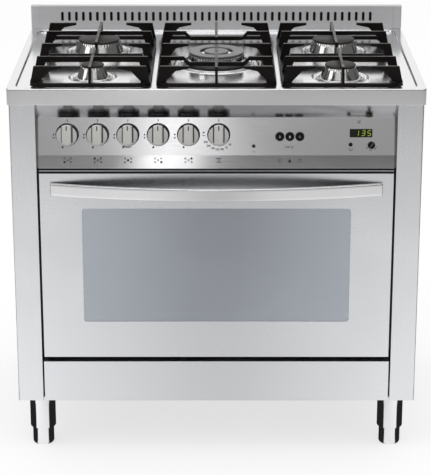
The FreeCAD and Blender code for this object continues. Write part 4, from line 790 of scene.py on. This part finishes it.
def makeKnob(name):
    # A turned base and face, and a grip across it whose sections shrink over its edge.
    k = knob
    base, top, rounding = k["base"], k["faceHeight"], k["baseRound"]
    body = [(0, 0), (base - k["baseFoot"], 0), (base, k["baseFoot"]), (base, k["baseHeight"] - rounding)]
    body += arcPoints((base - rounding, k["baseHeight"] - rounding), rounding, 0, 80, 6)[1:]
    body += [(k["waist"], k["baseHeight"] + k["waistStep"]), (k["waist"], k["shoulder"])]
    body += shifted(k["faceEdge"], k["face"], top) + [(k["grip"] * 0.5, top), (0, top)]
    bodyPart = turned(body)
    # The pointer's side is bevelled more: the face lies lower than the base, by a share of the height.
    lean = np.clip((bodyPart[0][:, 2] - k["shoulder"]) / (top - k["shoulder"]), 0, 1)
    bodyPart[0][:, :2] += lean[:, None] * np.array(k["offset"])
    corner = math.acos(k["grip"] / k["face"])
    corners = [corner, tau - corner, math.pi - corner, math.pi + corner]
    angle = np.sort(np.concatenate([np.arange(96) * tau / 96, corners]))
    # Heights and insets up the grip: straight, then round over its edge in steps of 25 degrees.
    steps = [(top - k["gripSunk"], 0)]
    steps += arcPoints((k["length"] - k["edge"], k["edge"]), k["edge"], -90, -15, 4)
    steps += [(k["length"], k["edge"])]
    rows = []
    for z, inset in steps:
        # The grip's outline in polar form: flat sides at the grip's width, round ends on the face's circle.
        radius = np.minimum((k["grip"] - inset) / np.maximum(np.abs(np.cos(angle)), 1e-6),
            k["gripEnd"] - inset)
        rows.append(np.stack([radius * np.cos(angle), radius * np.sin(angle), np.full(len(angle), z)], -1))
    place = jointPlace(name)
    piece = facePiece(name + "_turning", joinParts(bodyPart, gridPart(np.array(rows), capped=True)), place,
        "knobSteel", name, (name,), 32)
    # The knob's side under its face gets the dark shade steel: painted shade for the dark crescent round the
    # knob.
    secondMaterial(piece.data, "knobShade", lambda face:
        (np.array(face.center) / mm - place) @ outward < top + k["gripShadeRise"][0]
        and abs(np.array(face.normal) @ outward) < k["flatFacing"])
    # Dark strips on the face on both sides of the grip: painted shadow at the grip's foot.
    gripShade = k["grip"] + k["gripShade"]
    reach = math.sqrt(k["face"] ** 2 - gripShade ** 2) - k["gripShadeEnd"]
    gripShades = [barPart(x0, x1, -reach, reach, *(top + rise for rise in k["gripShadeRise"]))
        for x0, x1 in ((-gripShade, 0.1 - k["grip"]), (k["grip"] - 0.1, gripShade))]
    facePiece(name + "_grip_shades", joinParts(*gripShades), place, "darkInk", name)
    rises = [k["length"] + rise for rise in k["lineRise"]]
    line = barPart(-k["line"], k["line"], k["lineLow"], k["lineHigh"], *rises)
    facePiece(name + "_line", line, place, "darkInk", name)


for knobName in knobNames:
    makeKnob(knobName)

button = {"radius": 9.6, "rise": 4.0, "edge": 1.2, "sunk": 5.0, "dish": 0.35, "middleDish": 0.5}


def makeButton(name):
    # A profile carried round: straight side, quarter circle, and a face that dips to the middle.
    b = button
    profile = [(0, -b["sunk"]), (b["radius"], -b["sunk"]), (b["radius"], b["rise"] - b["edge"])]
    profile += arcPoints((b["radius"] - b["edge"], b["rise"] - b["edge"]), b["edge"], 0, 90, 6)
    profile += [(b["radius"] * 0.5, b["rise"] - b["dish"]), (0, b["rise"] - b["middleDish"])]
    facePiece(name + "_cap", turned(profile, 64), onFace(*faceCentre(name)), "buttonPlastic", name,
        replaced=(name,))


for buttonName in buttonNames:
    makeButton(buttonName)
print("knobs and buttons made")


# Prints on the panel, the clock's digits and the small controls

ink = {"low": -0.05, "high": 0.1, "line": 0.8, "bold": 1.1, "tick": (28.2, 33.2), "tickLine": 1.7,
    "markX": -29.5, "dotRadius": 1.8, "star": (-6.8, 2.2), "light": (-10.5, -26.8, 5.0),
    "arc": (27.2, 2.2, 246, 285), "ovenStar": (-3, 4.4, 2.6), "ovenBar": (-6.0, 0.2, -2.2, 1.4),
    "numberRadius": 32.5, "numberStart": -42, "numberStep": 18, "numberSize": 5.6, "numberWeight": 0.2,
    "buttonStar": (-4, -27, 2.6), "buttonBars": ((-10, 2, 6), -30, -24), "bell": (-4.5, 29.0, 2.6),
    "bellBar": (-8.0, -1.0, 25.6), "timerArcs": ((200, 232), (244, 276), (300, 340)),
    "timerArc": (12.0, 1.2), "pressArc": (-9.5, 3.2, -7), "lampBar": (2.4, -12), "lampDot": (-14, 0.8),
    "starLine": 0.9, "flameShape": (0.62, 0.55)}
skirt = {"height": 29.5, "run": 2.0, "sheet": 0.2, "iconUp": 18.5, "iconSize": 6.6, "iconRow": 4.0,
    "dot": 1.7, "line": 1.1, "ovenBars": (6, 1.5, (-4.4, 4.0)), "ovenRing": (-0.4, 1.8),
    "bulb": (3.0, -6, -3.2), "flame": (-1, 7.5), "sparkBars": (4.5, (-3, 2))}
skirtUp = np.array([0, skirt["run"], skirt["height"]]) / math.hypot(skirt["run"], skirt["height"])
skirtTurn = np.stack([(1, 0, 0), skirtUp, (0, -skirtUp[2], skirtUp[1])], -1)
panelLow, panelHigh = nodeBox("control_panel")
skirtOrigin = np.array([0, panelLow[1] + skirt["sheet"], panelLow[2]])


def inkPlate(outline):
    return platePart(outline, ink["low"], ink["high"])


def inkBar(x0, y0, x1, y1, line=ink["line"]):
    # A printed stroke between two points.
    along = np.array([x1 - x0, y1 - y0], float)
    along /= np.hypot(*along)
    side = np.array([-along[1], along[0]]) * line / 2
    return inkPlate([(x0, y0) - side, (x1, y1) - side, (x1, y1) + side, (x0, y0) + side])


def levelBar(x, y, half, line=ink["line"]):
    # A stroke along X on both sides of a point.
    return inkBar(x - half, y, x + half, y, line)


def inkDot(x, y, radius):
    # A printed disc: a flat profile carried round.
    profile = [(0, ink["low"]), (radius, ink["low"]), (radius, ink["high"]), (0, ink["high"])]
    return moved(turned(profile, 20), (x, y, 0))


def inkRing(x, y, radius, line=ink["line"], start=0.0, end=360.0):
    # A printed ring or arc: a flat band round a centre.
    angle = np.radians(np.linspace(start, end, 25))
    inner, outer = radius - line / 2, radius + line / 2
    rows = [np.stack([x + r * np.cos(angle), y + r * np.sin(angle), np.full(len(angle), z)], -1)
        for r, z in ((inner, ink["low"]), (outer, ink["low"]), (outer, ink["high"]), (inner, ink["high"]))]
    points = np.array(rows).transpose(1, 0, 2)
    closed = end - start >= 360
    return gridPart(points[:-1] if closed else points, wrapRows=closed, capped=not closed)


def inkStar(x, y, radius):
    # Three strokes through one point: the spark's sign.
    return [inkBar(x - radius * math.cos(a), y - radius * math.sin(a), x + radius * math.cos(a),
        y + radius * math.sin(a), ink["starLine"]) for a in np.radians([0, 60, 120])]


def inkFlame(x, y, size):
    # A drop: its half width is the sine of the angle times the sine of half the angle, to the power 1.5.
    t = np.arange(28) * tau / 28
    wide, tall = ink["flameShape"]
    across = wide * size * np.sin(t) * np.abs(np.sin(t / 2)) ** 1.5
    return inkPlate(np.stack([x + across, y + tall * size * np.cos(t)], -1))


def inkText(words, x, y):
    # Plain numbers, centred on a point.
    curve = bpy.data.curves.new("numbers", "FONT")
    curve.body, curve.size, curve.align_x, curve.align_y = words, ink["numberSize"], "CENTER", "CENTER"
    curve.extrude = (ink["high"] - ink["low"]) / 2
    curve.offset = ink["numberWeight"]
    holder = bpy.data.objects.new("numbers", curve)
    mesh = bpy.data.meshes.new_from_object(holder)
    vertices = np.array([tuple(vertex.co) for vertex in mesh.vertices])
    faces = [list(polygon.vertices) for polygon in mesh.polygons]
    bpy.data.objects.remove(holder)
    bpy.data.meshes.remove(mesh)
    return vertices + np.array([x, y, (ink["low"] + ink["high"]) / 2]), faces


def ovenSigns(x):
    # The oven knob's spark and bar at its left, and the temperatures round it.
    k, mark = ink, x + ink["markX"]
    strokes = inkStar(mark + k["ovenStar"][0], *k["ovenStar"][1:])
    start, end, level, line = k["ovenBar"]
    strokes.append(inkBar(mark + start, level, mark + end, level, line))
    for place, words in enumerate(("50", "75", "100", "125", "150", "200", "250")):
        angle = math.radians(k["numberStart"] - k["numberStep"] * place)
        strokes.append(inkText(words, x + k["numberRadius"] * math.cos(angle),
            k["numberRadius"] * math.sin(angle)))
    return strokes


def burnerSigns(x):
    # Off at the left with the spark under it, and the low flame below.
    k, mark = ink, x + ink["markX"]
    flameX, flameUp, flameSize = k["light"]
    return [inkDot(mark, 0, k["dotRadius"]), *inkStar(mark, *k["star"]),
        inkFlame(x + flameX, flameUp, flameSize)]


def makePrints():
    # All the signs on the leaning face, counted from the knobs, buttons and clock.
    k = ink
    strokes = []
    for name in knobNames:
        x = jointPlace(name)[0]
        strokes.append(inkBar(x, k["tick"][0], x, k["tick"][1], k["tickLine"]))
        strokes += ovenSigns(x) if name == "oven_knob" else burnerSigns(x)
        if name == "knob_centre":
            strokes.append(inkRing(x, 0, *k["arc"]))
    middle = faceCentre(buttonNames[1])[0]
    strokes += inkStar(middle + k["buttonStar"][0], *k["buttonStar"][1:])
    sides, low, high = k["buttonBars"]
    strokes += [inkBar(middle + side, low, middle + side, high, k["bold"]) for side in sides]
    clockX = faceCentre("clock_window")[0]
    strokes.append(inkRing(clockX + k["bell"][0], *k["bell"][1:]))
    start, end, level = k["bellBar"]
    strokes.append(inkBar(clockX + start, level, clockX + end, level))
    timer = faceCentre("timer_knob")
    strokes += [inkRing(*timer, *k["timerArc"], start, end) for start, end in k["timerArcs"]]
    pressX, pressUp = faceCentre("timer_button")
    low, radius, high = k["pressArc"]
    strokes.append(inkRing(pressX, pressUp + low, radius, k["bold"], 180, 360))
    strokes += [inkBar(pressX + side, pressUp + low, pressX + side, pressUp + high, k["bold"])
        for side in (-radius, radius)]
    lampX, lampUp = faceCentre("indicator_lamp")
    strokes.append(levelBar(lampX, lampUp + k["lampBar"][1], k["lampBar"][0]))
    strokes.append(inkDot(lampX, lampUp + k["lampDot"][0], k["lampDot"][1]))
    facePiece("panel_signs", joinParts(*strokes), faceOrigin, "darkInk", "root")


def makeSkirtPrints():
    # Under each knob: five small rings in the hob's layout, the knob's own burner filled.
    s, up, line = skirt, skirt["iconUp"], skirt["line"]
    layout = {"front_left": (-1, -1), "rear_left": (-1, 1), "centre": (0, 0), "front_right": (1, -1),
        "rear_right": (1, 1)}
    strokes = []
    for name in knobNames[:5]:
        x = jointPlace(name)[0]
        for burner, (column, row) in layout.items():
            place = (x + column * s["iconSize"], up + row * s["iconRow"])
            own = name == "knob_" + burner
            strokes.append(inkDot(*place, s["dot"] * 1.5) if own else inkRing(*place, s["dot"], line))
    ovenX = jointPlace("oven_knob")[0]
    half, bold, rises = s["ovenBars"]
    strokes += [levelBar(ovenX, up + rise, half, bold) for rise in rises]
    strokes.append(inkRing(ovenX, up + s["ovenRing"][0], s["ovenRing"][1], line))
    lightX, grillX, sparkX = (faceCentre(name)[0] for name in buttonNames)
    radius, low, high = s["bulb"]
    strokes += [inkRing(lightX, up, radius, line), inkBar(lightX, up + low, lightX, up + high, line)]
    strokes.append(inkFlame(grillX, up + s["flame"][0], s["flame"][1]))
    strokes += [levelBar(sparkX, up + rise, s["sparkBars"][0], line) for rise in s["sparkBars"][1]]
    makePiece("skirt_signs", moved(joinParts(*strokes), skirtOrigin, skirtTurn), "darkInk", "root")


clock = {"digits": (("bc", -0.18), ("abgcd", 0.10), ("afgcd", 0.36)), "width": 6.8, "height": 11.0,
    "line": 1.0, "gap": 0.55, "slant": 0.16, "out": 0.6}


def makeDigits():
    # Lit digits of up to seven strokes, a to g from the top round to the middle; a digit's place is a share
    # of the window's width.
    c = clock
    half, rise, gap = c["width"] / 2, c["height"] / 2, c["line"] * c["gap"]
    ends = {"a": (-half, rise, half, rise), "b": (half, 0, half, rise), "c": (half, -rise, half, 0),
        "d": (-half, -rise, half, -rise), "f": (-half, 0, -half, rise), "g": (-half, 0, half, 0)}
    low, high = nodeBox("clock_window")
    clockX, up = faceCentre("clock_window")
    strokes = []
    for lit, share in c["digits"]:
        x = clockX + share * (high[0] - low[0])
        for name in lit:
            x0, y0, x1, y1 = ends[name]
            x0, y0, x1, y1 = (x0 + gap, y0, x1 - gap, y1) if name in "agd" else (x0, y0 + gap, x1, y1 - gap)
            strokes.append(inkBar(x + x0 + c["slant"] * y0, up + y0, x + x1 + c["slant"] * y1, up + y1,
                c["line"]))
    facePiece("clock_digits", joinParts(*strokes), faceOrigin + outward * c["out"], "clockLight", "root")


bevelledCopy("clock_window", "clock_glass", "clockGlass", "root", 0.5)
makeDigits()
makePrints()
makeSkirtPrints()
bevelledCopy("indicator_lamp", "oven_lamp_lens", "lampLens", "root", 0.8, 3)
for controlName, width in (("timer_button", 0.8), ("timer_knob", 1.0)):
    bevelledCopy(controlName, controlName + "_cap", "buttonPlastic", controlName, width, 3)

# A thumb grip across the clock's knob, turned to the right; rows are shares of its outline, at a height.
thumb = {"half": 1.7, "reach": 6.4, "turn": -38.0, "rows": ((1, -0.4), (1, 1.8), (0.72, 2.4))}


def makeThumbGrip():
    # A block of three sections, each a share of one rectangle, laid on the knob's face.
    t = thumb
    points = np.array([vertex.co for vertex in frame["nodes"]["timer_knob"].data.vertices]) / mm
    top = float(((points - faceOrigin) @ outward).max())
    half, reach = t["half"], t["reach"]
    outline = [(-half, -reach), (half, -reach), (half, reach), (-half, reach)]
    rows = [[(x * share, y * (1 + share) / 2, z) for x, y in outline] for share, z in t["rows"]]
    cos, sin = math.cos(math.radians(t["turn"])), math.sin(math.radians(t["turn"]))
    grip = moved(gridPart(np.array(rows, float), capped=True),
        turn=[(cos, -sin, 0), (sin, cos, 0), (0, 0, 1)])
    # The grip's lighter plastic is partly a painted highlight.
    facePiece("timer_knob_grip", grip, onFace(*faceCentre("timer_knob"), top), "thumbPlasticHighlight", "timer_knob",
        smooth=20)


makeThumbGrip()

signs = {
    "button_light": [inkRing(0, 0.4, 1.5, 0.6), levelBar(0, -2.4, 1, 0.6)],
    "button_grill": [inkFlame(0, 0.4, 4.0), levelBar(0, -2.8, 2, 0.5)],
    "button_ignition": [levelBar(0, rise, 2, 0.5) for rise in (-1.2, 1.0)],
}
for buttonName, strokes in signs.items():
    place = onFace(*faceCentre(buttonName), button["rise"] - button["dish"])
    facePiece(buttonName + "_sign", joinParts(*strokes), place, "paleInk", buttonName)

# Pan-head screws that hold the back panel: a low dome with a dark cross, painted shade for its recess, all in
# one piece.
screw = {"radius": 4.2, "height": 2.2, "sunk": 0.3, "rim": 0.5, "slot": 0.9, "cross": 0.55,
    "crossRise": (-0.4, 0.05), "inset": 14.0, "along": 5}


def makeBackScrews():
    # Heads are a profile carried round, rising by a sine; a cross is two thin dark blocks, painted shade for
    # the recess.
    s = screw
    low, high = nodeBox("back_panel")
    head = [(0, -s["sunk"]), (s["radius"], -s["sunk"]), (s["radius"], s["rim"])]
    head += [(s["radius"] * math.cos(a), s["rim"] + (s["height"] - s["rim"]) * math.sin(a))
        for a in np.radians([30, 55, 75])] + [(0, s["height"])]
    xs, zs = [np.linspace(low[axis] + s["inset"], high[axis] - s["inset"], s["along"]) for axis in (0, 2)]
    places = [(x, high[1], z) for x in xs for z in zs if x in (xs[0], xs[-1]) or z in (zs[0], zs[-1])]
    rises = [s["height"] + rise for rise in s["crossRise"]]
    long, short = s["radius"] * s["cross"], s["slot"] / 2
    cross = joinParts(*[barPart(-wide, wide, -tall, tall, *rises)
        for wide, tall in ((long, short), (short, long))])
    for name, part, material in (("back_screws", turned(head, 24), "footChrome"),
            ("back_screw_cross_shades", cross, "darkInk")):
        parts = [moved(part, place, [(-1, 0, 0), (0, 0, 1), (0, 1, 0)]) for place in places]
        makePiece(name, joinParts(*parts), material, "root")


makeBackScrews()

# The thin edge of a sheet in the gap over the door, back to the oven's flange.
gapSheet = {"half": 385.0, "front": -270.0, "back": -225.0, "rise": 664.6, "thickness": 1.4}
gapPart = barPart(-gapSheet["half"], gapSheet["half"], gapSheet["front"], gapSheet["back"],
    gapSheet["rise"], gapSheet["rise"] + gapSheet["thickness"])
makePiece("door_gap_sheet", gapPart, "pillarSteel", "root")

# The control panel's side flanges, which close the gap to the side panels just behind its face.
flange = {"inset": 1.2, "depth": 1.0, "clear": 0.3, "margin": 1.5, "width": 4.3, "stripHeight": 34.0}


def makePanelFlanges():
    # On each side a four-cornered section is carried through four points of the panel's outline.
    f = flange
    fold = faceOrigin + upward * float((skirtOrigin + skirtUp * skirt["height"] - faceOrigin) @ upward)
    top = fold + upward * (panelHigh[2] - fold[2] - f["stripHeight"]) / upward[2]
    rim = np.array([0, panelLow[1] + f["clear"], panelHigh[2] - f["margin"]])
    front, back = f["inset"], f["inset"] + f["depth"]
    parts = []
    for edge, side in ((panelLow[0], -1), (panelHigh[0], 1)):
        x0, x1 = sorted((edge + side * f["clear"], edge + side * (f["clear"] + f["width"])))
        rows = [[(x, point[1] + y, point[2]) for x, y in ((x0, front), (x1, front), (x1, back), (x0, back))]
            for point in (skirtOrigin + skirtUp * f["margin"], fold, top, rim)]
        parts.append(gridPart(np.array(rows, float), capped=True))
    # The flanges take the dark shade steel: painted shade along the panel's ends.
    makePiece("panel_side_flanges", joinParts(*parts), "knobShade", "root", smooth=5)


makePanelFlanges()
print("prints, clock and small controls made")


# CAD nodes that stay as they are, by the material that they get

cadMaterials = {
    "castMetal": ("burner_cups", "burner_pipes"),
    "ceramicGlaze": ("spark_electrodes",),
    "brassCast": ("gas_taps",),
    "zincSheet": ("gas_manifold", "back_panel", "base_pan", "oven_burner", "door_hinge_arms",
        "door_hinge_bodies", "drawer_box", "drawer_runners"),
    "ovenEnamel": ("oven_liner", "drip_tray", "door_inner_frame"),
    "sealRubber": ("door_seal",),
    "rackChrome": ("shelf_ladders", "wire_shelf", "grill_element"),
    "lampGlass": ("oven_lamp",),
    "windowGlass": ("door_glass",),
    "innerGlass": ("door_inner_glass",),
    "boxPlastic": ("terminal_box",),
}
for materialName, nodeNames in cadMaterials.items():
    for node in (frame["nodes"][nodeName] for nodeName in nodeNames):
        if not node.data.materials:
            node.data.materials.append(materials[materialName])
        for slotPlace in node.material_slots:
            slotPlace.material = materials[materialName]


# Floor, light and camera

studio = {
    "floorSize": 30.0, "floorTone": 0.32, "floorGlow": 0.70,
    "nearGlow": 0.94, "farGlow": 0.58, "nearReach": 0.5, "farReach": 3.4,
    "farDrop": 0.38, "dropStart": 3.3, "dropEnd": 4.4, "tilt": 0.03, "tiltReach": 0.55,
    "middleDip": 0.21, "sideRise": 0.16, "middleEnd": 0.05, "sideStart": 0.5,
    "bowlFade": 2.8, "bowlGone": 3.8,
    "laneX": -0.22, "laneCore": 0.078, "laneEdge": 0.182, "laneGlow": 1.9,
    "shadeX": 0.75, "shadeFront": -0.335, "shadeRear": 0.5, "shadeEdge": 0.02, "shadeGlow": 0.02,
    "wedgeX": 0.397, "wedgeFront": -0.238, "wedgeSlope": 1.7, "wedgeEdge": 0.012,
    "horizon": 0.2, "lowWall": 0.42, "wallRange": (0.04, 0.22), "ceiling": 1.0, "ceilingRange": (0.3, 0.75),
    "rearRange": (-0.2, 0.3), "streakX": -0.0225, "streakWidth": 0.018, "streakGlow": 1.7,
    "flagRange": (0.42, 0.62), "flagTop": (0.55, 0.75), "flagGlow": 0.12,
    "topRange": (0.84, 0.93), "topGlow": 0.1, "roomGlow": 0.85,
}


def startTree(tree):
    # Clears a tree; gives its Light Path, and where the camera looks straight or through glass.
    tree.nodes.clear()
    path = addNode(tree, "LightPath").outputs
    return path, calc(tree, "MAXIMUM", path["Is Camera Ray"], path["Is Transmission Ray"])


def makeFloor():
    s = studio
    half = s["floorSize"] / 2
    mesh = bpy.data.meshes.new("floor")
    mesh.from_pydata([(-half, -half, 0), (half, -half, 0), (half, half, 0), (-half, half, 0)], [],
        [(0, 1, 2, 3)])
    floor = bpy.data.objects.new("floor", mesh)
    bpy.context.scene.collection.objects.link(floor)
    material = bpy.data.materials.new("paleFloor")
    material.use_nodes = True
    tree = material.node_tree
    path, seen = startTree(tree)
    place, x, y, _ = splitPlace(tree)
    reach = addNode(tree, "VectorMath", {0: place}, operation="LENGTH").outputs["Value"]
    glow = spread(tree, reach, s["nearGlow"], s["farGlow"], s["nearReach"], s["farReach"])
    glow = calc(tree, "SUBTRACT", glow, spread(tree, reach, 0, s["farDrop"], s["dropStart"], s["dropEnd"]))
    tilt = spread(tree, x, s["tilt"], -s["tilt"], -s["tiltReach"], s["tiltReach"])
    # The floor is dimmer before the stove's middle than before its sides.
    side = calc(tree, "ABSOLUTE", x)
    bowl = spread(tree, side, -s["middleDip"], s["sideRise"], s["middleEnd"], s["sideStart"])
    glow = calc(tree, "MULTIPLY_ADD", bowl, spread(tree, reach, 1, 0, s["bowlFade"], s["bowlGone"]), glow)
    glow = calc(tree, "ADD", tilt, glow)
    # A lamp's streak lies over the floor's far end, as on the wall.
    aside = calc(tree, "ABSOLUTE", calc(tree, "SUBTRACT", x, s["laneX"]))
    lane = calc(tree, "MULTIPLY", spread(tree, aside, 1, 0, s["laneCore"], s["laneEdge"]),
        spread(tree, y, 1, 0, -s["dropEnd"], -s["dropStart"]))
    glow = calc(tree, "MULTIPLY_ADD", lane, s["laneGlow"], glow)
    # Metal sees a painted shadow on the floor beside and under the stove, bright floor in front of it, and
    # dimmer further out.
    beside = spread(tree, side, 0, 1, s["shadeX"], s["shadeX"] + 2 * s["shadeEdge"])
    ahead = spread(tree, y, 1, 0, s["shadeFront"] - s["shadeEdge"], s["shadeFront"])
    # A bright wedge opens in front of each foot: its half width grows with the distance from the foot.
    fromFoot = calc(tree, "ABSOLUTE", calc(tree, "SUBTRACT", side, s["wedgeX"]))
    wedge = spread(tree, y, s["wedgeSlope"], 0, s["wedgeFront"] - 1, s["wedgeFront"])
    inWedge = spread(tree, calc(tree, "SUBTRACT", wedge, fromFoot), 0, 1, -s["wedgeEdge"], 0.0)
    behind = spread(tree, y, 0, 1, s["shadeRear"], s["shadeRear"] + 2 * s["shadeEdge"])
    lit = calc(tree, "MAXIMUM", calc(tree, "MAXIMUM", ahead, inWedge), behind)
    bright = mixValues(tree, calc(tree, "MAXIMUM", lit, beside), s["shadeGlow"], glow)
    glossy = path["Is Glossy Ray"]
    total = mixValues(tree, glossy, calc(tree, "MULTIPLY", seen, s["floorGlow"]), bright)
    emission = addNode(tree, "Emission", {"Strength": total})
    diffuse = addNode(tree, "BsdfDiffuse", {"Color": spread(tree, glossy, s["floorTone"], 0)})
    added = addNode(tree, "AddShader", {0: diffuse.outputs[0], 1: emission.outputs[0]})
    addNode(tree, "OutputMaterial", {"Surface": added.outputs[0]})
    mesh.materials.append(material)


def makeWorld():
    # White where the camera looks; metal sees a studio with a dim front wall, a bright rear and ceiling.
    s = studio
    world = bpy.data.worlds.new("studio")
    bpy.context.scene.world = world
    world.use_nodes = True
    tree = world.node_tree
    path, seen = startTree(tree)
    _, x, y, z = splitPlace(tree, "Generated")
    low = spread(tree, z, s["horizon"], s["lowWall"], *s["wallRange"])
    rise = calc(tree, "ADD", low, spread(tree, z, 0, s["ceiling"] - s["lowWall"], *s["ceilingRange"]))
    # A lamp's bright streak stands on the front wall: e to minus the square of the distance by its width.
    near = calc(tree, "DIVIDE", calc(tree, "SUBTRACT", x, s["streakX"]), s["streakWidth"])
    streak = calc(tree, "EXPONENT", calc(tree, "MULTIPLY", calc(tree, "POWER", near, 2.0), -1.0))
    wall = calc(tree, "MULTIPLY_ADD", streak, s["streakGlow"], rise)
    around = mixValues(tree, spread(tree, y, 0, 1, *s["rearRange"]), wall, 1.0)
    # Dark flags stand to the left and right, up to about 45 degrees.
    aside = spread(tree, calc(tree, "ABSOLUTE", x), 0, 1, *s["flagRange"])
    flag = calc(tree, "MULTIPLY", aside, spread(tree, z, 1, 0, *s["flagTop"]))
    flagged = mixValues(tree, flag, around, s["flagGlow"])
    # Straight above it is dark, between the lamps.
    glossy = mixValues(tree, spread(tree, z, 0, 1, *s["topRange"]), flagged, s["topGlow"])
    metal = mixValues(tree, path["Is Glossy Ray"], s["roomGlow"], glossy)
    background = addNode(tree, "Background",
        {"Color": (1, 1, 1, 1), "Strength": mixValues(tree, seen, metal, 1.0)})
    addNode(tree, "OutputWorld", {"Surface": background.outputs[0]})


lamps = {
    "ceilingBox": {"place": (0, -0.4, 3.6), "size": (2.6, 1.8), "power": 22},
    "leftBox": {"place": (-3.2, -1.6, 2.4), "size": (1.4, 2.0), "power": 14},
}
lampAim = Vector((0, 0, 0.5))


def addLamp(name, place, size, power):
    data = bpy.data.lights.new(name, "AREA")
    data.shape = "RECTANGLE"
    data.size, data.size_y = size
    data.energy = power
    lamp = bpy.data.objects.new(name, data)
    bpy.context.scene.collection.objects.link(lamp)
    lamp.location = place
    lamp.rotation_euler = (lampAim - Vector(place)).to_track_quat("-Z", "Y").to_euler()


makeFloor()
makeWorld()
for lampName, values in lamps.items():
    addLamp(lampName, **values)

view = {"place": (-0.002, -4.086, 1.850), "pitch": 17.84, "focalPixels": 1842, "frameHeight": 475,
    "sensor": 36.0, "shift": -0.1}
cameraData = bpy.data.cameras.new("camera")
cameraData.sensor_width = view["sensor"]
cameraData.lens = view["focalPixels"] / view["frameHeight"] * view["sensor"]
cameraData.shift_y = view["shift"]
camera = bpy.data.objects.new("camera", cameraData)
camera.location = view["place"]
camera.rotation_euler = (math.radians(90 - view["pitch"]), 0, 0)
bpy.context.scene.collection.objects.link(camera)
bpy.context.scene.camera = camera
bpy.context.scene.view_settings.view_transform = "Standard"

bpy.context.view_layer.update()
